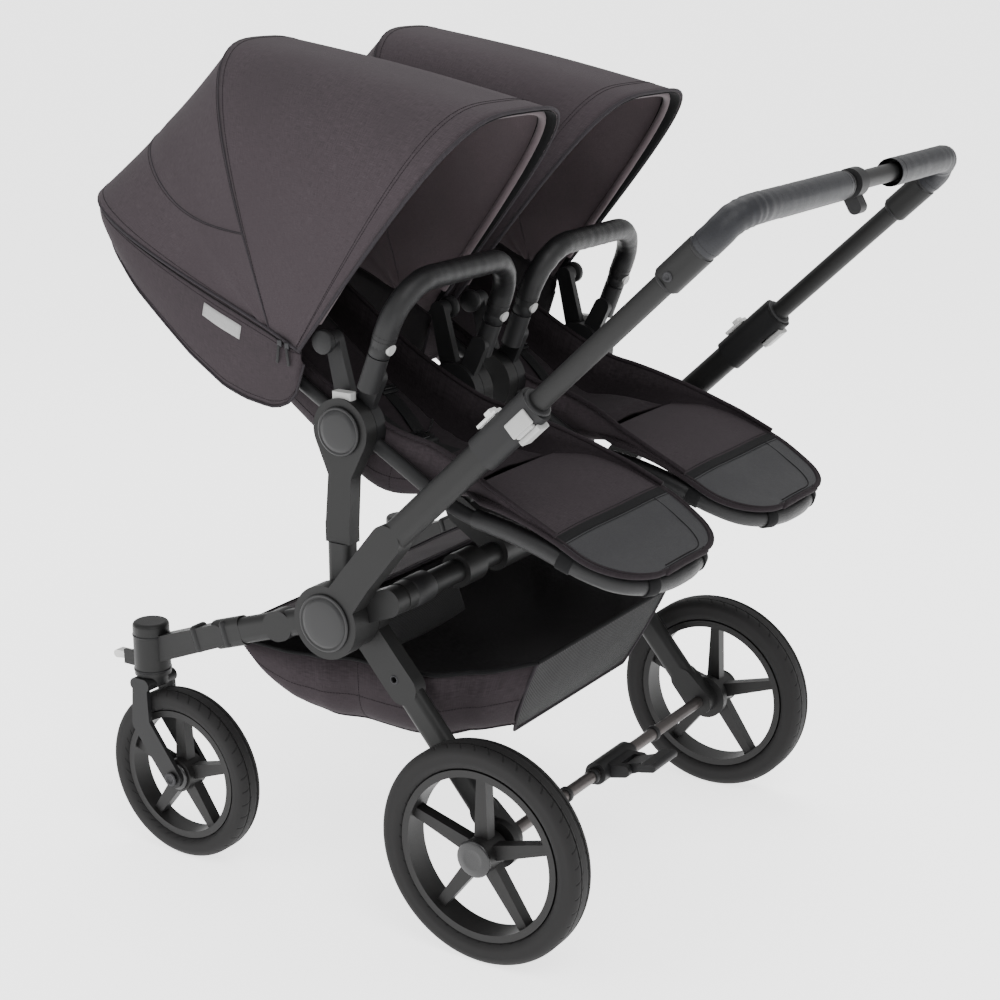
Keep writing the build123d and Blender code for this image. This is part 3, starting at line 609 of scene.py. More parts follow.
class Arch:
    """A hood rib: a soft-cornered arch that rises from base at an angle in the side plane."""

    def __init__(self, base, angle, height, power, half=155.0):
        self.base = base
        self.angle = math.radians(angle)
        self.table = arch_table(height, half, power)

    def at(self, u, cx):
        share, x, h = self.table
        rise = float(np.interp(u, share, h))
        return Vector((cx + float(np.interp(u, share, x)), self.base[0] + rise * math.cos(self.angle),
                       self.base[1] + rise * math.sin(self.angle)))


FRONT_ARCH = Arch((-300, 800), 50.8, 406, 4.0)
MID_ARCH = Arch(MID_BASE, 108, 388, 3.3)
REAR_ARCH = Arch((-362, 829), 133, 352, 2.7)
TAIL_ARCH = Arch((-386, 842), 158.9, 376, 3.0)


def hood_front_shape(cx):
    def place(u, v):
        low, high = MID_ARCH.at(u, cx), FRONT_ARCH.at(u, cx)
        point = low.lerp(high, v)
        out = (point - Vector((cx, -320, 860))).normalized()
        arch = math.sin(math.pi * min(1, max(0, u)))
        fold = noise.noise(Vector((u * 5.0, v * 2.2, 3.1))) * 1.6 * (1 - arch * 0.6)
        return tuple(point + out * (math.sin(math.pi * v) ** 0.8 * (7.0 * arch - 2.0) + fold))
    return place


def hood_back_shape(cx):
    def place(u, v):
        ribs = (MID_ARCH.at(u, cx), REAR_ARCH.at(u, cx), TAIL_ARCH.at(u, cx))
        t = v * 2
        first = ribs[0] - (ribs[1] - ribs[0]) * 0.75
        last = ribs[2] + (ribs[2] - ribs[1]) * 0.7
        a, b, c, d = (first, *ribs) if t < 1 else (*ribs, last)
        s = t if t < 1 else t - 1
        point = through(a, b, c, d, s)
        out = (point - Vector((cx, -380, 850))).normalized()
        dip = math.sin(math.pi * min(1.0, s)) * 1.5
        fold = noise.noise(Vector((u * 6.0, v * 4.0, 8.4))) * 1.8 * math.sin(math.pi * v)
        return tuple(point - out * dip + out * fold)
    return place


def side_curve(points, share):
    """A point a share of the way along a smooth line through side-plane points."""
    at = share * (len(points) - 1)
    i = min(len(points) - 2, int(at))
    a, b, c, d = points[max(0, i - 1)], points[i], points[i + 1], points[min(len(points) - 1, i + 2)]
    return tuple(through(a[k], b[k], c[k], d[k], at - i) for k in (0, 1))


FLAP_DROP_Y = (-760, -690, -640, -566, -497, -436, -400, -356, -332, -316, -304, -296)
FLAP_DROP_Z = (934, 912, 882, 828, 775, 737, 725, 718, 722, 734, 756, 792)


def flap_shape(cx):
    """The lower band that runs round the tail from one side of the seat to the other."""
    ribs = [TAIL_ARCH.at(0.03 + 0.94 * i / 60, cx) for i in range(61)]
    near = [Vector((cx + 154, -298, 800)), Vector((cx + 155, -320, 811)), Vector((cx + 155, -349, 826))]
    far = [Vector((2 * cx - p.x, p.y, p.z)) for p in reversed(near)]
    top = [p for p, w in spaced(near + ribs + far, 5.0)]
    last = len(top) - 1

    def place(u, v):
        at = min(last - 1e-6, u * last)
        i = int(at)
        high = top[i].lerp(top[i + 1], at - i)
        low_z = min(float(np.interp(high.y, FLAP_DROP_Y, FLAP_DROP_Z)), high.z - 8)
        tail = min(1.0, max(0.0, (-600 - high.y) / 130.0))
        bow = math.sin(math.pi * v) * 2.5
        inward = 1.0 + bow / 155.0 - 0.035 * v * v - 0.012
        back = (high.y + 400) * (inward - 1.0) * tail
        return (cx + (high.x - cx) * inward, high.y + back + 9.0 * v * tail, high.z + (low_z - high.z) * v - 2.0)
    return place


def edge_rows(place, u_values, v, centre, lift):
    return [lifted(place, u, v, centre, lift) for u in u_values]


def hood(side, cx):
    centre = (cx, -340, 840)
    seat_body, bow_body = f"seat_{side}", f"canopy_bow_{side}"
    front, back, flap = hood_front_shape(cx), hood_back_shape(cx), flap_shape(cx)
    u_all = [i / 72 for i in range(73)]
    pieces_back = []

    cover = cloth(f"hood_front_{side}", front, centre, (hood_cloth, lining_cloth, band_cloth), (64, 26), 2.2, 1, 2)
    edge = cord_line(f"hood_front_piping_{side}", edge_rows(front, u_all, 1.0, centre, 0.2), 2.5, piping_cloth)
    band = cloth(f"hood_front_band_{side}", lambda u, v: tuple(
        lifted(front, u, 1.0 - v * 0.075, centre, -3.4)), centre, (band_cloth,), (64, 4), 1.2)
    sleeve = cord_line(f"hood_bow_sleeve_{side}", [lifted(front, 0.05 + i * 0.90 / 60, 0.95, centre, -9.5)
                                                   for i in range(61)], 5.4, lining_cloth)
    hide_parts(bow_body)
    for k in (-1, 1):
        boss = turned(f"canopy_hub_{'near' if k > 0 else 'far'}_{side}", CANOPY_HUB,
                      (cx + k * 147, *CANOPY_PIVOT), (1, 0, 0), black_plastic, 40)
        on(bow_body, "plastic_black", boss)
    hem = [edge_rows(front, u_all, v, centre, 0.25) for v in (0.905, 0.89)]
    hook = [lifted(front, 0.60 + 0.02 * math.sin(t), 0.90 - 0.13 * t / 3.0, centre, 0.3)
            for t in np.linspace(0, 3.0, 12)]
    rows = stitched(f"hood_front_stitches_{side}", hem + [hook], stitch_thread, 3.9, 2.9, 0.36)
    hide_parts(f"canopy_front_{side}")
    declare(cover)
    mid_top, front_top = MID_ARCH.at(0.5, cx), FRONT_ARCH.at(0.5, cx)
    for obj in (cover, edge, band, sleeve, rows):
        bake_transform(obj)

    shell = cloth(f"hood_back_{side}", back, centre, (hood_cloth, lining_cloth, flap_cloth), (64, 44), 2.2, 1, 2)
    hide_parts(f"canopy_rear_{side}")
    declare(shell)
    pieces_back.append(shell)
    skirt = cloth(f"hood_flap_{side}", flap, (cx, -450, 860), (flap_cloth, dark_cloth, flap_cloth), (84, 10), 2.0, 1, 2)
    declare(skirt)
    pieces_back.append(skirt)
    flap_centre = (cx, -450, 860)
    hem_row = edge_rows(flap, u_all, 1.0, flap_centre, 0.4)
    pieces_back.append(cord_line(f"hood_flap_piping_{side}", hem_row, 1.9, piping_cloth))
    rim = edge_rows(flap, u_all, 0.0, flap_centre, 1.6)
    pieces_back.append(cord_line(f"hood_rim_piping_{side}", rim, 2.3, piping_cloth))
    zip_row = edge_rows(flap, u_all, 0.055, flap_centre, 0.9)
    pieces_back.append(stitched(f"hood_zip_teeth_{side}", [zip_row], dark_thread, 2.6, 1.3, 0.9))
    mid_row = edge_rows(back, u_all, 0.004, centre, 0.3)
    pieces_back.append(cord_line(f"hood_mid_seam_{side}", mid_row, 1.1, piping_cloth))

    def tail_row(shift):
        run = [0.135 + i * 0.73 / 60 for i in range(61)]
        return [lifted(back, u, 0.60 * (1 - abs((u - 0.5) / 0.365) ** 7) + shift, centre, 0.2) for u in run]

    tail = tail_row(0.004)
    pieces_back.append(cord_line(f"hood_tail_seam_{side}", tail, 0.8, piping_cloth))
    lines = [edge_rows(back, u_all, 0.022, centre, 0.25), edge_rows(front, u_all, 0.02, centre, 0.25),
             tail_row(0.020), edge_rows(back, u_all, 0.955, centre, 0.25),
             edge_rows(flap, u_all, 0.12, flap_centre, 0.25), edge_rows(flap, u_all, 0.93, flap_centre, 0.25)]
    pieces_back.append(stitched(f"hood_back_stitches_{side}", lines, stitch_thread, 3.9, 2.9, 0.36))
    tag = cloth(f"hood_blank_label_{side}", lambda u, v: tuple(lifted(
        flap, 0.160 - u * 0.062 + v * 0.004, 0.17 + v * 0.165, flap_centre, 1.0)),
        flap_centre, (label_cloth,), (8, 4), 0.7)
    pieces_back.append(tag)
    for hand, share in (("outer", 0.020), ("inner", 0.98)):
        for k in (0, 1):
            way = 1 if share < 0.5 else -1
            top = lifted(flap, share + k * 0.012 * way, 0.04 + 0.03 * k, flap_centre, 3.4)
            ring = block(f"zip_slider_{hand}_{k}_{side}", (3.2, 7.5, 9.0), top, bolt_steel, (0, 0, 0), 1.0)
            hang = top + Vector((1.2 * way, 1.5 - 4 * k, -15))
            pull = block(f"zip_pull_{hand}_{k}_{side}", (2.2, 4.6, 24.0), hang, black_plastic, (8 - 16 * k, 0, 0), 1.0)
            pieces_back.append(join(f"hood_zip_{hand}_{k}_{side}", ring, pull))
    on(seat_body, "hood_fabric", *pieces_back)


# ---------------------------------------------------------------- seat
TUB_RIM = ((92, 607), (40, 630), (-15, 652), (-68, 673), (-119, 688), (-190, 704), (-300, 758),
           (-400, 827), (-500, 892), (-600, 938), (-662, 962))
TUB_LOW = ((88, 595), (38, 613), (-14, 622), (-66, 620), (-140, 610), (-226, 606), (-318, 668),
           (-420, 743), (-520, 817), (-610, 883), (-676, 932))
LINER_PATH = [(0, -62, 637), (0, -140, 632), (0, -205, 632), (0, -246, 652), (0, -330, 716), (0, -480, 828),
              (0, -620, 930)]


def tub_shape(cx):
    """Seat fabric in one: side, base, side, following the seat from the knees to the head."""
    def place(u, v):
        rim, low = side_curve(TUB_RIM, v), side_curve(TUB_LOW, v)
        turn = math.pi * u
        c, s = math.cos(turn), abs(math.sin(turn))
        x = math.copysign(abs(c) ** 0.34, c)
        down = s ** 0.34
        sag = 4.0 * math.sin(math.pi * v) * s ** 3 * min(1.0, v * 3)
        swell = 1.8 * math.sin(math.pi * down) * (1 + 0.4 * noise.noise(Vector((v * 9, u * 3, 1.7))))
        y = rim[0] + (low[0] - rim[0]) * down
        z = rim[1] + (low[1] - rim[1]) * down - sag
        half = float(np.interp(v, (0.0, 0.1, 0.2, 0.3, 0.4), (141.0, 139.0, 131.0, 116.0, 108.0)))
        return (cx + x * (half + swell), y, z)
    return place


FOOT_PATH = ((-62, 636), (-10, 633), (43, 620), (102, 597), (150, 573), (205, 555))
FOOT_RAIL = ((131, -34, 606), (134, 14, 599), (136, 62, 588), (135, 92, 578), (127, 126, 563), (108, 160, 548),
             (76, 181, 539), (36, 191, 535), (0, 193, 534))


def foot_half(y):
    if y < -20:
        return 112 + (y + 62) / 42 * 30
    if y < 112:
        return 144.5
    return 54.5 + math.sqrt(max(0.0, 90.0 ** 2 - (y - 112) ** 2))


def foot_shape(cx, start, end, lift=0.0, inset=0.0, crown=3.0):
    def place(u, v):
        share = start + (end - start) * (1 - (1 - v) ** 2.0 if end == 1.0 and start > 0 else v)
        y, z = side_curve(FOOT_PATH, share)
        half = foot_half(y) - inset
        x = half * (2 * u - 1)
        dome = crown * (1 - abs(2 * u - 1) ** 4) * (1 - 0.6 * share)
        wave = 0.8 * noise.noise(Vector((u * 4, share * 7, 5.5)))
        return (cx + x, y, z + dome + wave + lift)
    return place


def pad_shape():
    """Closed liner pad that runs under the legs and up the back, centred on x = 0."""
    path = spaced(smooth_line(LINER_PATH, 12), 4.0)
    bm = bmesh.new()
    bmesh.ops.create_cube(bm, size=1.0)
    bmesh.ops.subdivide_edges(bm, edges=bm.edges[:], cuts=15, use_grid_fill=True)
    last = len(path) - 1
    for vert in bm.verts:
        u, v, w = vert.co.x * 2, vert.co.y + 0.5, vert.co.z * 2
        at = min(last - 1e-6, max(0.0, v * last))
        i = int(at)
        point = path[i][0].lerp(path[i + 1][0], at - i)
        way = path[i][1]
        up = Vector((0, -way.z, way.y))
        if up.z < 0:
            up.negate()
        thin = (1 - abs(u) ** 5) ** 0.5 * (1 - abs(2 * v - 1) ** 12) ** 0.5
        half = 92.0 - 5.0 * math.sin(math.pi * v) + 4 * math.cos(2 * math.pi * v)
        vert.co = (point + Vector((u * half, 0, 0)) + up * (w * 7.0 * (0.35 + 0.65 * thin) + 4.0)) * MM
    bmesh.ops.recalc_face_normals(bm, faces=bm.faces[:])
    return bm


def puffed(obj, cap, pressure=4.0):
    """Swells a closed pad with a short cloth simulation, holding each point within cap."""
    remesh = obj.modifiers.new("even", "REMESH")
    remesh.mode = "VOXEL"
    remesh.voxel_size = 0.006
    graph = bpy.context.evaluated_depsgraph_get()
    mesh = bpy.data.meshes.new_from_object(obj.evaluated_get(graph))
    obj.modifiers.clear()
    obj.data = mesh
    rest = np.array([tuple(v.co) for v in mesh.vertices])
    sim = obj.modifiers.new("puff", "CLOTH")
    sim.settings.quality = 4
    sim.settings.mass = 0.2
    sim.settings.use_pressure = True
    sim.settings.uniform_pressure_force = pressure
    sim.settings.effector_weights.gravity = 0
    sim.settings.tension_stiffness = 20
    sim.settings.compression_stiffness = 20
    sim.settings.bending_stiffness = 2
    sim.collision_settings.use_self_collision = False
    for step in range(1, 21):
        bpy.context.scene.frame_set(step)
    graph = bpy.context.evaluated_depsgraph_get()
    swollen = bpy.data.meshes.new_from_object(obj.evaluated_get(graph))
    moved = np.array([tuple(v.co) for v in swollen.vertices]) - rest
    far = np.linalg.norm(moved, axis=1, keepdims=True)
    moved *= np.minimum(1.0, cap * MM / np.maximum(far, 1e-9))
    obj.modifiers.clear()
    obj.data.vertices.foreach_set("co", (rest + moved).astype(np.float32).ravel())
    obj.data.update()
    for polygon in obj.data.polygons:
        polygon.use_smooth = True
    bpy.context.scene.frame_set(1)
    return obj


def channels(obj, lines, width=7.0, depth=3.2):
    """Presses sewn channels into a pad along lines of points."""
    pts = np.array([tuple(p) for line in lines for p, w in spaced(line, 3.0)]) * MM
    for vert in obj.data.vertices:
        gap = np.linalg.norm(pts - np.array(tuple(vert.co)), axis=1).min() / MM
        if gap < width * 2.5:
            vert.co -= vert.normal * (depth * MM * math.exp(-(gap / width) ** 2))


liner = piece(pad_shape(), "liner_master", seat_cloth_3d)
puffed(liner, 7.0)
soften(liner, 1)


def liner_top(u, share, lift):
    """A point on top of the liner pad, on the centre plane or to a side."""
    path = smooth_line(LINER_PATH, 12)
    at = share * (len(path) - 1)
    i = min(len(path) - 2, int(at))
    point = path[i].lerp(path[i + 1], at - i)
    way = (path[i + 1] - path[i]).normalized()
    up = Vector((0, -way.z, way.y))
    if up.z < 0:
        up.negate()
    return point + Vector((u, 0, 0)) + up * lift


channels(liner, [[liner_top(u, s / 40, 11) for s in range(2, 39)] for u in (-62, 62)]
         + [[liner_top(u, 0.46, 11) for u in range(-80, 81, 8)], [liner_top(u, 0.70, 11) for u in range(-80, 81, 8)]])


def seat(side, cx):
    body = f"seat_{side}"
    soft = []
    tub = tub_shape(cx)
    centre = (cx, -330, 900)
    # The tub's inner face takes the half-bright seat cloth, painted shade for the inside of the seat.
    shell = cloth(f"seat_tub_{side}", tub, centre, (seat_cloth, seat_inner_painted_shade, seat_cloth), (48, 72), 2.4, 1, 2)
    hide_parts(f"seat_shell_{side}")
    declare(shell)
    soft.append(shell)
    v_all = [i / 60 for i in range(61)]
    for hand, u in (("near", 0.0), ("far", 1.0)):
        edge = [Vector(tub(u, v)) for v in v_all]
        soft.append(cord_line(f"seat_rim_{hand}_{side}", edge, 3.4, seat_cloth_3d))
    rows = []
    for u in (0.10, 0.90):
        rows.append([lifted(tub, u, v, (cx, -330, 2000), 0.5) for v in v_all])
    for v in (0.47, 0.72):
        rows.append([lifted(tub, u, v, (cx, -330, 2000), 0.5) for u in [0.02 + i * 0.18 / 12 for i in range(13)]])
        rows.append([lifted(tub, u, v, (cx, -330, 2000), 0.5) for u in [0.98 - i * 0.18 / 12 for i in range(13)]])
    soft.append(stitched(f"seat_tub_stitches_{side}", rows, stitch_thread, 4.2, 3.0, 0.4))

    pad = bpy.data.objects.new(f"seat_liner_{side}", liner.data.copy())
    bpy.context.scene.collection.objects.link(pad)
    pad.data.transform(Matrix.Translation((cx * MM, 0, 0)))
    soften(pad, 1)
    soft.append(pad)

    below = (cx, 0, 400)
    calf = cloth(f"footrest_fabric_{side}", foot_shape(cx, 0.0, 0.56), below, (seat_cloth,), (36, 22), 6.5)
    rounded_edges(calf, 1.8)
    stripe = cloth(f"footrest_stripe_{side}", foot_shape(cx, 0.555, 0.60, 0.7), below, (band_cloth,), (36, 4), 5.5)
    panel = cloth(f"footrest_panel_{side}", foot_shape(cx, 0.595, 1.0, 0.2), below, (foot_leather,), (36, 22), 6.5)
    rounded_edges(panel, 1.8)
    soft += [calf, stripe, panel]
    whole = foot_shape(cx, 0.0, 1.0, 0.4)
    ease = [1 - (1 - v) ** 2.6 for v in v_all]
    border = [Vector(whole(0.0, v)) for v in ease] + [Vector(whole(u / 20, 1.0)) for u in range(1, 20)] \
        + [Vector(whole(1.0, v)) for v in reversed(ease)]
    soft.append(cord_line(f"footrest_piping_{side}", [p + Vector((0, 0, -2.5)) for p in border], 3.4, seat_cloth_3d))
    hem_inner = foot_shape(cx, 0.0, 1.0, 0.4, 6.5)
    hem_line = [Vector(hem_inner(0.0, v)) for v in ease] + [Vector(hem_inner(u / 20, 0.985)) for u in range(1, 20)] \
        + [Vector(hem_inner(1.0, v)) for v in reversed(ease)]
    soft.append(cord_line(f"footrest_hem_{side}", [p + Vector((0, 0, -1.2)) for p in hem_line], 2.9, seat_cloth_3d))
    fold_shape = foot_shape(cx, 0.0, 1.0, 0.6, 30.0)
    fold = [Vector(fold_shape(0.07, v)) for v in (0.60, 0.68, 0.76, 0.84, 0.90, 0.94)]
    fold += [Vector(fold_shape(u, 0.955)) for u in (0.15, 0.3, 0.5, 0.7, 0.88)]
    soft.append(cord_line(f"footrest_fold_{side}", smooth_line(fold, 6), 0.9, dark_thread))
    inner = foot_shape(cx, 0.0, 1.0, 0.5, 11.0)
    edge_rows_in = [Vector(inner(0.0, v)) for v in ease[4:]] + [Vector(inner(u / 20, 0.97)) for u in range(1, 20)] \
        + [Vector(inner(1.0, v)) for v in reversed(ease[4:])]
    cross_rows = [[Vector(inner(u / 24, v)) + Vector((0, 0, 0.4)) for u in range(25)] for v in (0.545, 0.61)]
    soft.append(stitched(f"footrest_stitches_{side}", [edge_rows_in] + cross_rows, dark_thread, 4.2, 3.0, 0.42))
    sleeve_line = [(cx + x, y, z) for x, y, z in FOOT_RAIL]
    sleeve_line += [(2 * cx - x, y, z) for x, y, z in reversed(sleeve_line[:-1])]
    rail_line = [p for p, w in spaced(smooth_line(sleeve_line, 8), 5.0)]
    soft.append(cord_line(f"footrest_rail_sleeve_{side}", rail_line, 13.4, bar_leather, False, 6))
    for k, share in enumerate((0.22, 0.40, 0.60, 0.78)):
        at = int(share * (len(rail_line) - 1))
        way = (rail_line[at + 1] - rail_line[at]).normalized()
        band = [(-10, 13.3), (-10, 14.6), (-8.8, 15.2), (8.8, 15.2), (10, 14.6), (10, 13.3)]
        soft.append(turned(f"footrest_elastic_{k}_{side}", band, rail_line[at], way, band_cloth, 28))
    on(body, "seat_fabric", *soft)

    belts = []
    above = (cx, -200, 300)
    shoulder = {}
    for hand in (-1, 1):
        word = "near" if hand > 0 else "far"
        run = [(cx + hand * 40, -585, 912), (cx + hand * 40, -500, 855), (cx + hand * 40, -400, 782),
               (cx + hand * 36, -320, 728), (cx + hand * 28, -262, 690), (cx + hand * 16, -226, 664)]
        belts.append(strap(f"shoulder_belt_{word}_{side}", run, (1, 0, 0), 24, 1.8, black_web, above))
        cover = [(cx + hand * 40, -545, 889), (cx + hand * 40, -470, 837), (cx + hand * 39, -390, 780)]
        pad_strap = strap(f"shoulder_pad_{word}_{side}", cover, (1, 0, 0), 44, 7.0, band_cloth, above)
        belts.append(pad_strap)
        waist = [(cx + hand * 88, -262, 654), (cx + hand * 70, -248, 660), (cx + hand * 44, -232, 659),
                 (cx + hand * 18, -222, 656)]
        belts.append(strap(f"waist_belt_{word}_{side}", waist, (0, 0.62, 0.78), 23, 1.8, black_web, above))
        tilt, over = (-36, 0, hand * 8), cx + hand * 33
        belts.append(join(f"belt_slider_{word}_{side}",
                          block("slider_a", (31, 15, 4.5), (over, -291, 712), black_plastic, tilt, 1.6),
                          block("slider_b", (26, 3.2, 6.0), (over, -288, 714), gloss_plastic, tilt, 1.2)))
    crotch = [(cx, -128, 648), (cx, -160, 650), (cx, -195, 654)]
    belts.append(strap(f"crotch_belt_{side}", crotch, (1, 0, 0), 27, 6.0, band_cloth, above))
    buckle = join(f"buckle_{side}",
                  block("buckle_body", (42, 46, 12), (cx, -214, 657), black_plastic, (-8, 0, 0), 4.0, 4, 0.86),
                  block("buckle_key", (17, 22, 3.2), (cx, -212, 663), gloss_plastic, (-8, 0, 0), 1.4),
                  block("buckle_ear_near", (12, 26, 9), (cx + 24, -222, 657), black_plastic, (-8, 0, 0), 2.2),
                  block("buckle_ear_far", (12, 26, 9), (cx - 24, -222, 657), black_plastic, (-8, 0, 0), 2.2))
    belts.append(buckle)
    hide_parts(f"harness_{side}")
    on(body, "webbing", *belts)


def bumper(side, cx):
    """Padded rail: foam under leatherette, with ring seams above the hard collars."""
    def on_plane(x, rise):
        y, z = along(SOCKET_BASE, LEG_ANGLE, 50.3 + rise)
        return Vector((cx + x, y, z))

    corner = [(136 - 66 + 66 * math.cos(t), 105 - 66 + 66 * math.sin(t)) for t in np.linspace(0, math.pi / 2, 13)]
    half = [(136.0, 12.0), (136.0, 26.0)] + corner
    flat = half + [(-x, r) for x, r in reversed(half)]
    line = [p for p, w in spaced([on_plane(x, r) for x, r in flat], 4.0)]
    n = len(line)
    radii = []
    for i in range(n):
        at = min(i, n - 1 - i) / (n / 2)
        pinch = 1.0 if at > 0.05 else 0.90 + 2.0 * at
        radii.append(pinch * (1.0 + 0.035 * noise.noise(Vector((i * 0.35, 2.0 + cx, 0.0)))))
    pad = cord_line(f"bumper_padding_{side}", line, 16.4, bar_leather, False, 6, radii)
    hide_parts(f"bumper_bar_{side}")
    parts = [pad]
    inside = [p + Vector((0, math.sin(math.radians(LEG_ANGLE)) * -16.2, math.cos(math.radians(LEG_ANGLE)) * 16.2))
              for p in line[4:-4]]
    parts.append(stitched(f"bumper_long_seam_{side}", [inside], dark_thread, 3.6, 2.6, 0.42))
    for hand in (-1, 1):
        word = "near" if hand > 0 else "far"
        foot = on_plane(136 * hand, 0)
        way = (0, math.cos(math.radians(LEG_ANGLE)), math.sin(math.radians(LEG_ANGLE)))
        collar = [(0, 11.5), (0, 13.2), (1.5, 14.6), (16, 15.0), (17.5, 14.4), (18.5, 12.5), (18.5, 11.0)]
        parts.append(turned(f"bumper_collar_{word}_{side}", collar, foot, way, black_plastic, 40))
        for k, rise in enumerate((25.0, 31.0)):
            ring_at = on_plane(136 * hand, rise)
            ring = [ring_at + Vector((16.3 * math.cos(t), -16.3 * math.sin(t) * math.sin(math.radians(LEG_ANGLE)),
                                      16.3 * math.sin(t) * math.cos(math.radians(LEG_ANGLE))))
                    for t in np.linspace(0, 2 * math.pi, 37)]
            parts.append(stitched(f"bumper_ring_seam_{word}_{k}_{side}", [ring], dark_thread, 2.8, 2.0, 0.4))
        plug = [(-47.5, 0), (-47.5, 10.2), (-46, 10.9), (2, 10.9), (2, 0)]
        parts.append(turned(f"bumper_plug_{word}_{side}", plug, foot, way, black_plastic, 32))
    on(f"bumper_{side}", "grip_leather", *parts)


for side, sign in SIDES:
    hood(side, sign * SEAT_X)
    seat(side, sign * SEAT_X)
    bumper(side, sign * SEAT_X)
bpy.data.objects.remove(liner)


# ---------------------------------------------------------------- grips
def grip(side, sign, end):
    start = along(COLLAR_TOP, TUBE_ANGLE, 301.3)
    points = [(346, *start), (344.5, *along(start, TUBE_ANGLE, 22)), (331, BAR[0] - 11, BAR[1] - 10),
              (312, BAR[0] - 2.5, BAR[1] - 2.0)] + [(x, *BAR) for x in (286, 240, 180, 110, end)]
    line = [p for p, w in spaced(smooth_line(points, 14), 2.5)]
    line = [Vector((p.x * sign, p.y, p.z)) for p in line]
    n = len(line)
    radii = []
    for i in range(n):
        near_end = min(i, n - 1 - i) * 2.5
        pinch = 0.93 + 0.07 * min(1.0, near_end / 9.0)
        bend = math.exp(-((i - n * 0.22) / (n * 0.10)) ** 2)
        crease = bend * 0.030 * math.sin(i * 1.15 + 1.7 * math.sin(i * 0.23))
        radii.append(pinch * (1.0 + crease + 0.018 * noise.noise(Vector((i * 0.16, sign * 3.0, 0.0)))))
    pad = cord_line(f"grip_padding_{side}", line, 18.6, grip_leather, False, 8, radii)
    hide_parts(f"grip_{side}")
    ways = [(line[1] - line[0]).normalized(), (line[-1] - line[-2]).normalized()]
    parts = [pad]
    for k, (at, way) in enumerate(((line[4], ways[0]), (line[-5], ways[1]))):
        across = way.orthogonal().normalized()
        other = way.cross(across)
        ring = [at + across * 18.3 * math.cos(t) + other * 18.3 * math.sin(t) for t in np.linspace(0, 2 * math.pi, 41)]
        parts.append(stitched(f"grip_ring_stitch_{k}_{side}", [ring], dark_thread, 2.9, 2.1, 0.42))
        rest = line[0] if k == 0 else line[-1]
        cuff = [(-3.0, 12.3), (-3.0, 16.6), (-1.6, 17.8), (1.8, 17.8), (3.2, 16.8), (3.2, 12.3)]
        parts.append(turned(f"grip_cuff_{k}_{side}", cuff, rest, way, black_plastic, 40))
    under = [p + Vector((0, 8.0, -16.8)) for p in line[int(n * 0.42):-6]]
    parts.append(stitched(f"grip_long_stitch_{side}", [under], dark_thread, 3.4, 2.6, 0.42))
    on("handle_bar", "grip_leather", *parts)


grip("left", 1, 45.0)
grip("right", -1, 135.0)

# ---------------------------------------------------------------- basket
BASKET_RIM = ((-450, 358), (-420, 357), (-366, 355), (-318, 353), (-262, 351), (-200, 350), (-140, 352),
              (-80, 357), (-14, 371))
BASKET_LOW = ((-446, 350), (-412, 294), (-366, 262), (-316, 245), (-262, 238), (-200, 235), (-150, 238),
              (-112, 243), (-70, 248))
BASKET_HALF = (302.0, 302.0, 302.0, 290.0, 266.0, 266.0, 262.0, 226.0, 186.0)


def basket_half(v):
    at = v * (len(BASKET_HALF) - 1)
    i = min(len(BASKET_HALF) - 2, int(at))
    s = at - i
    s = s * s * (3 - 2 * s)
    return BASKET_HALF[i] * (1 - s) + BASKET_HALF[i + 1] * s


def basket_shape(u, v):
    rim, low = side_curve(BASKET_RIM, v), side_curve(BASKET_LOW, v)
    turn = math.pi * u
    c, s = math.cos(turn), abs(math.sin(turn))
    across = math.copysign(abs(c) ** 0.34, c)
    down = s ** 0.34
    pull = 1 - 0.02 * down ** 2
    slack = 1.6 * noise.noise(Vector((u * 8, v * 6, 2.2))) * down
    dip = 3.0 * math.sin(math.pi * v) * (s ** 4)
    return (across * basket_half(v) * pull, rim[0] + (low[0] - rim[0]) * down,
            rim[1] + (low[1] - rim[1]) * down + slack - dip)


BASKET_CENTRE = (0, -240, 380)
basket = cloth("basket_bag", basket_shape, BASKET_CENTRE, (basket_cloth, basket_inner, basket_cloth),
               (72, 56), 2.4, 1, 2)
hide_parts("basket")
declare(basket)
v_line = [i / 50 for i in range(51)]


def tail_panel(u, v):
    """Ribbed rear wall: straight sides that lean in to soft lower corners."""
    rim, low = Vector((0, -14, 371)), Vector((0, -70, 249))
    half = 186.0 - 30.0 * v ** 2.2
    bulge = 6.0 * math.sin(math.pi * v) * (1 - abs(2 * u - 1) ** 3)
    point = rim.lerp(low, v)
    return (half * (1 - 2 * u), point.y + bulge, point.z)


panel = cloth("basket_rear_wall", tail_panel, BASKET_CENTRE, (ribbed_panel, dark_cloth, ribbed_panel),
              (40, 30), 2.0, 1, 0)
panel_rim = [Vector(tail_panel(0, v)) for v in v_line] + [Vector(tail_panel(u / 20, 1)) for u in range(1, 20)] \
    + [Vector(tail_panel(1, 1 - v)) for v in v_line]
rim_left = [Vector(basket_shape(0.0, v)) for v in v_line]
rim_right = [Vector(basket_shape(1.0, v)) for v in v_line]
floor_left = [lifted(basket_shape, 0.235, v, BASKET_CENTRE, 0.6) for v in v_line]
floor_right = [lifted(basket_shape, 0.765, v, BASKET_CENTRE, 0.6) for v in v_line]
bag_rows = [[lifted(basket_shape, u, v, BASKET_CENTRE, 0.3) for v in v_line] for u in (0.225, 0.775, 0.04, 0.96)]
bag_rows.append([lifted(basket_shape, u / 60, 0.5, BASKET_CENTRE, 0.3) for u in range(61)])
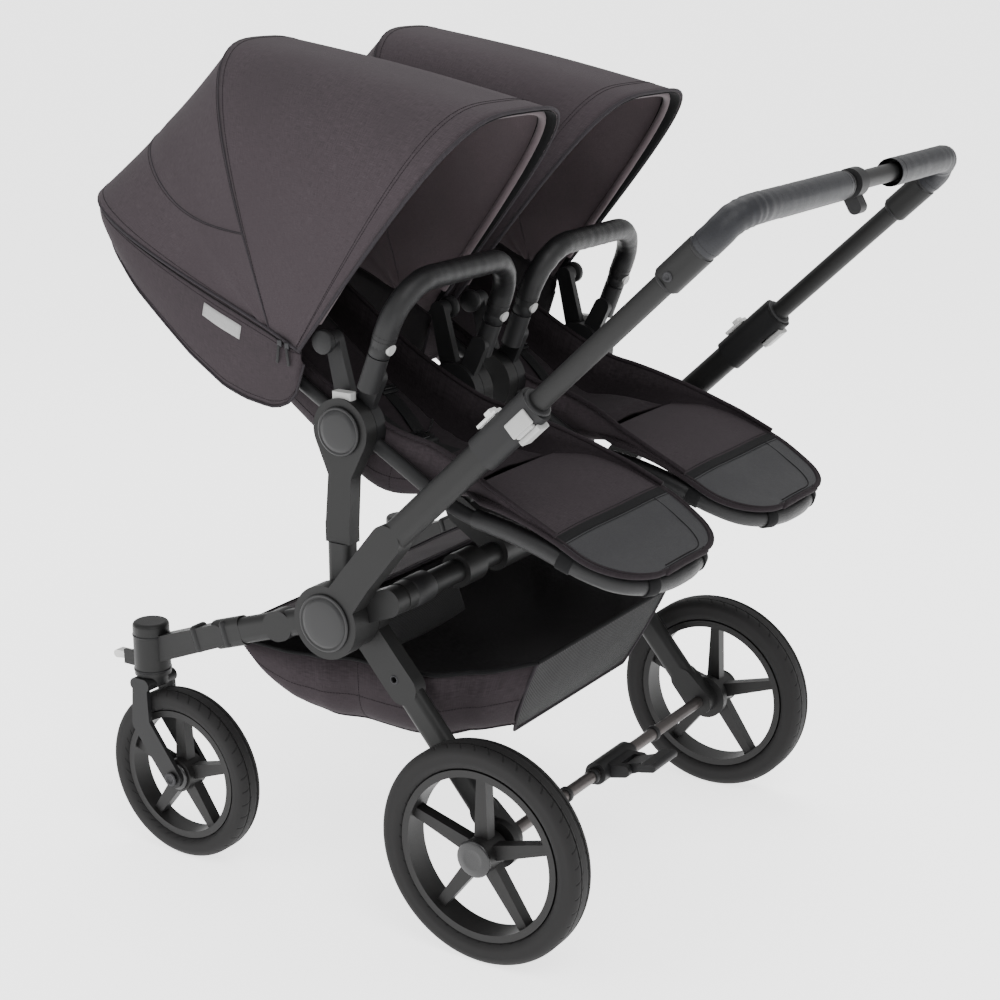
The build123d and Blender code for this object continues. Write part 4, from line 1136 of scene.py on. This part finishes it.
bag_parts = [basket, panel,
             cord_line("basket_rear_piping", panel_rim, 2.6, piping_cloth),
             cord_line("basket_rear_top_hem", [Vector(tail_panel(u / 20, 0)) for u in range(21)], 3.4, band_cloth),
             cord_line("basket_rim_hem_left", rim_left, 3.2, band_cloth),
             cord_line("basket_rim_hem_right", rim_right, 3.2, band_cloth),
             cord_line("basket_seam_left", floor_left, 1.3, piping_cloth),
             cord_line("basket_seam_right", floor_right, 1.3, piping_cloth),
             stitched("basket_stitches", bag_rows, stitch_thread, 4.2, 3.0, 0.4)]


def pocket(u, v):
    """Net pocket that hangs inside the front of the bag, across its width."""
    belly = 9.0 * math.sin(math.pi * v) * math.sin(math.pi * u)
    return (110.0 - 220.0 * u, -352.0 + belly + 22.0 * v, 352.0 - 58.0 * v + 6.0 * (2 * u - 1) ** 2)


bag_parts.append(cloth("basket_net_pocket", pocket, (0, -800, 300), (net,), (40, 12), 0.8))
bag_parts.append(cord_line("basket_net_binding", [Vector(pocket(i / 30, 0.0)) for i in range(31)], 2.2, band_cloth))


COVER_CENTRE = (0, -370, 100)


def cover_shape(u, v):
    y = -300.0 - 147.0 * v
    z = side_curve(((-300, 426), (-352, 410.5), (-400, 393), (-447, 376)), v)[1]
    return ((1 - 2 * u) * 303.0, y, z + 1.2 * noise.noise(Vector((u * 9, v * 3, 7.0))) + 1.0)


cover = cloth("basket_cover_flap", cover_shape, COVER_CENTRE, (basket_cloth, dark_cloth, basket_cloth),
              (60, 20), 2.4, 1, 2)
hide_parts("basket_cover")
declare(cover)
u_line = [i / 60 for i in range(61)]
border = [Vector(cover_shape(u, 0)) for u in u_line] + [Vector(cover_shape(1, v)) for v in v_line] \
    + [Vector(cover_shape(1 - u, 1)) for u in u_line] + [Vector(cover_shape(0, 1 - v)) for v in v_line]
cover_rows = [[lifted(cover_shape, 0.02 + 0.96 * u, v, COVER_CENTRE, 0.3) for u in u_line] for v in (0.07, 0.93)]
bag_parts += [cover, cord_line("basket_cover_piping", border, 2.2, piping_cloth, True),
              stitched("basket_cover_stitches", cover_rows, stitch_thread, 4.2, 3.0, 0.4)]
on("chassis", "seat_fabric", *bag_parts)


# ---------------------------------------------------------------- caps, bolts, rings and trim
for side, sign in SIDES:
    out = (sign, 0, 0)
    on("handle_frame", "plastic_black", turned(f"hub_cap_{side}", [
        (0, 0), (0, 40), (1.2, 41), (2.6, 40.6), (3.2, 39.2), (3.2, 37.6), (2.0, 36.6), (2.0, 35.6), (3.6, 34.8),
        (4.4, 30), (4.9, 18), (5.0, 0)], (sign * 361.2, *FOLD_HUB), out, cap_plastic, 72))
    on("chassis", "plastic_black", turned(f"seat_disc_cap_{side}", [
        (0, 0), (0, 33), (1.0, 33.6), (2.4, 33.0), (2.9, 31.6), (2.9, 30.6), (1.8, 29.8), (1.8, 29.0), (3.2, 28.2),
        (3.9, 22), (4.2, 10), (4.2, 0)], (sign * 330.1, *SEAT_DISC), out, cap_plastic, 72))
    for word, hub, radius in (("rear", REAR_HUB, 26.0), ("front", FRONT_HUB, 21.0)):
        low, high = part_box(f"{word}_rim_{side}")
        face = (high.x if sign > 0 else -low.x) / MM
        on(f"{word}_wheel_{side}", "wheel_black", turned(f"{word}_hub_cap_{side}", [
            (0, 0), (0, radius), (1.2, radius + 0.4), (3.0, radius - 0.4), (4.0, radius - 2.4), (4.6, radius * 0.62),
            (4.9, radius * 0.56), (4.5, radius * 0.50), (4.4, radius * 0.3), (4.3, 0)],
            (sign * (face - 1.5), hub[1], hub[2]), out, gloss_plastic, 56))
    for k in (-1, 1):
        low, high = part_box(f"fork_{side}")
        x = (high.x if k > 0 else low.x) / MM
        on(f"caster_{side}", "wheel_black", turned(f"front_axle_bolt_{'outer' if k > 0 else 'inner'}_{side}", [
            (0, 0), (0, 10.5), (1.5, 10.5), (2.4, 9.6), (2.4, 6.0), (1.2, 5.4), (1.2, 0)],
            (x - k * 0.4, *FRONT_HUB[1:]), (k, 0, 0), bolt_steel, 32))
    on("chassis", "plastic_black", turned(f"caster_dome_{side}", [
        (0, 0), (0, 26.4), (2.0, 26.8), (4.0, 26.2), (7.0, 23.0), (9.0, 17.0), (10.0, 9.0), (10.2, 0)],
        (sign * CASTER[0], CASTER[1], 347.6), (0, 0, 1), cap_plastic, 56),
        turned(f"caster_ring_{side}", [(0, 26.8), (0, 27.8), (2.4, 27.8), (2.4, 26.8)],
               (sign * CASTER[0], CASTER[1], 337), (0, 0, 1), black_plastic, 56),
        turned(f"caster_foot_ring_{side}", [(0, 26.8), (0, 27.9), (3.0, 27.9), (3.0, 26.8)],
               (sign * CASTER[0], CASTER[1], 283), (0, 0, 1), black_plastic, 56))

    for k, away in enumerate((8.0, 66.0)):
        place = (sign * 317, *along(ARM_END, 180 + ARM_ANGLE, away))
        on("chassis", "plastic_black", block(f"front_arm_band_{k}_{side}", (30, 13, 41), place, black_plastic,
                                             (ARM_ANGLE, 0, 0), 6.0, 4))
    pad_at = along(along(COLLAR_TOP, TUBE_ANGLE, -29.0), TUBE_ANGLE, 0.0, -7.0)
    on(f"height_button_{side}", "plastic_grey", join(f"height_button_pad_{side}",
        block("pad_face", (5.0, 38, 22), (sign * 361.4, *pad_at), grey_plastic, (TUBE_ANGLE, 0, 0), 2.4, 5),
        block("pad_edge", (17, 30, 6.0), (sign * 354.5, *along(pad_at, TUBE_ANGLE, 0.0, -12.0)), grey_plastic,
              (TUBE_ANGLE, 0, 0), 2.6, 5)))

    up_way = (0, math.cos(math.radians(TUBE_ANGLE)), math.sin(math.radians(TUBE_ANGLE)))
    housing = along(COLLAR_TOP, TUBE_ANGLE, 243)
    on("handle_bar", "plastic_black", turned(f"housing_bolt_{side}", [
        (0, 0), (0, 6.4), (1.2, 6.4), (2.0, 5.6), (2.0, 3.4), (0.9, 3.0), (0.9, 0)],
        (sign * 360.6, *along(housing, TUBE_ANGLE, 10)), out, bolt_steel, 28),
        turned(f"housing_lip_{side}", [(0, 14.0), (0, 16.8), (1.4, 17.6), (3.0, 17.6), (4.0, 16.6), (4.0, 14.0)],
               (sign * 346, *along(housing, TUBE_ANGLE, -3.5)), up_way, black_plastic, 40))
    on("handle_frame", "plastic_black", turned(f"collar_bezel_{side}", [
        (0, 14.4), (0, 20.0), (1.4, 20.8), (3.4, 20.2), (4.4, 18.4), (4.4, 14.4)],
        (sign * 346, *along(COLLAR_TOP, TUBE_ANGLE, -0.4)), up_way, black_plastic, 40))
    on("rear_frame", "axle_metal", turned(f"leg_hole_rim_{side}", [
        (-1.0, 4.3), (0.7, 4.3), (1.1, 5.0), (0.7, 6.4), (-0.2, 6.8)], (sign * 303, *LEG_HOLE), out, bolt_steel, 32))

for k, x in enumerate((-62.0, -26.0, 26.0, 62.0)):
    on("rear_frame", "axle_metal", turned(f"axle_band_{k}", [
        (-4, 8.8), (-4, 11.0), (-3, 11.8), (3, 11.8), (4, 11.0), (4, 8.8)],
        (x * 2.1, 0, 156), (1, 0, 0), black_plastic, 40))
for k, x in enumerate((-262.0, 262.0)):
    on("chassis", "plastic_black", turned(f"cross_tube_sleeve_{k}", [
        (-22, 17.0), (-22, 20.6), (-20, 22.0), (20, 22.0), (22, 20.6), (22, 17.0)],
        (x, *CROSS_TUBE), (1, 0, 0), black_plastic, 44))

# ---------------------------------------------------------------- finishes of the hard parts
FINISH = (
    (frame_coat, ("side_frame", "front_arm", "seat_mount", "rear_leg", "handle_elbow", "handle_tube", "cross_tube",
                  "centre_frame", "front_cross", "crossbar")),
    (black_plastic, ("fork", "handle_collar", "seat_frame", "brake_housing", "brake_pedal", "strap_ring")),
    (wheel_plastic, ("rear_rim", "front_rim")), (rear_rubber, ("rear_tyre",)), (front_rubber, ("front_tyre",)),
    (white_plastic, ("caster_lock", "fold_lever")), (grey_plastic, ("height_button", "clamp_button", "bumper_button")),
    (band_cloth, ("canopy_bow",)), (axle_steel, ("rear_axle",)))
for name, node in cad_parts.items():
    for material, starts in FINISH:
        if name.startswith(starts):
            node.data.materials.clear()
            node.data.materials.append(material)
            for polygon in node.data.polygons:
                polygon.material_index = 0
    if not node.hide_render:
        rounded_edges(node, 0.8)
        node.modifiers["edge"].angle_limit = math.radians(35)
        node.modifiers["edge"].harden_normals = True

# ---------------------------------------------------------------- studio
floor_look = Look("studio_floor", Roughness=0.75, Specular_IOR_Level=0.2, Emission_Color=(1, 1, 1, 1),
                  Emission_Strength=2.1)
sweep = floor_look.noise(floor_look.coords("Object"), 2.0, 2.0)
floor_material = floor_look.finish(floor_look.blend((0.86, 0.86, 0.86, 1), (0.88, 0.88, 0.88, 1), sweep))
bm = bmesh.new()
bmesh.ops.create_grid(bm, x_segments=2, y_segments=2, size=90.0)
floor = piece(bm, "studio_floor", floor_material)
floor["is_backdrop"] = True


def light(name, place, aim, size, power):
    data = bpy.data.lights.new(name, "AREA")
    data.shape = "DISK"
    data.size = size
    data.energy = power
    obj = bpy.data.objects.new(name, data)
    obj.location = place
    obj.rotation_mode = "QUATERNION"
    obj.rotation_quaternion = (Vector(aim) - Vector(place)).to_track_quat("-Z", "Y")
    bpy.context.scene.collection.objects.link(obj)


light("key", (1.6, 1.8, 3.4), (0, -0.2, 0.5), 2.2, 78)
light("fill", (3.4, -1.8, 2.2), (0, -0.2, 0.6), 2.6, 34)
light("top", (-1.2, -0.9, 3.8), (0, -0.2, 0.5), 2.8, 66)
world = bpy.data.worlds.new("studio")
world.use_nodes = True
world.node_tree.nodes["Background"].inputs[0].default_value = (1, 1, 1, 1)
world.node_tree.nodes["Background"].inputs[1].default_value = 0.95
bpy.context.scene.world = world

camera = bpy.data.objects.new("camera", bpy.data.cameras.new("camera"))
camera.data.lens = 69.65
camera.data.sensor_width = 36.0
camera.location = (2.2998, 1.2837, 1.3357)
camera.rotation_mode = "QUATERNION"
camera.rotation_quaternion = Vector((-0.80684, -0.51866, -0.28286)).to_track_quat("-Z", "Y")
bpy.context.scene.collection.objects.link(camera)
bpy.context.scene.camera = camera

low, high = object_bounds()
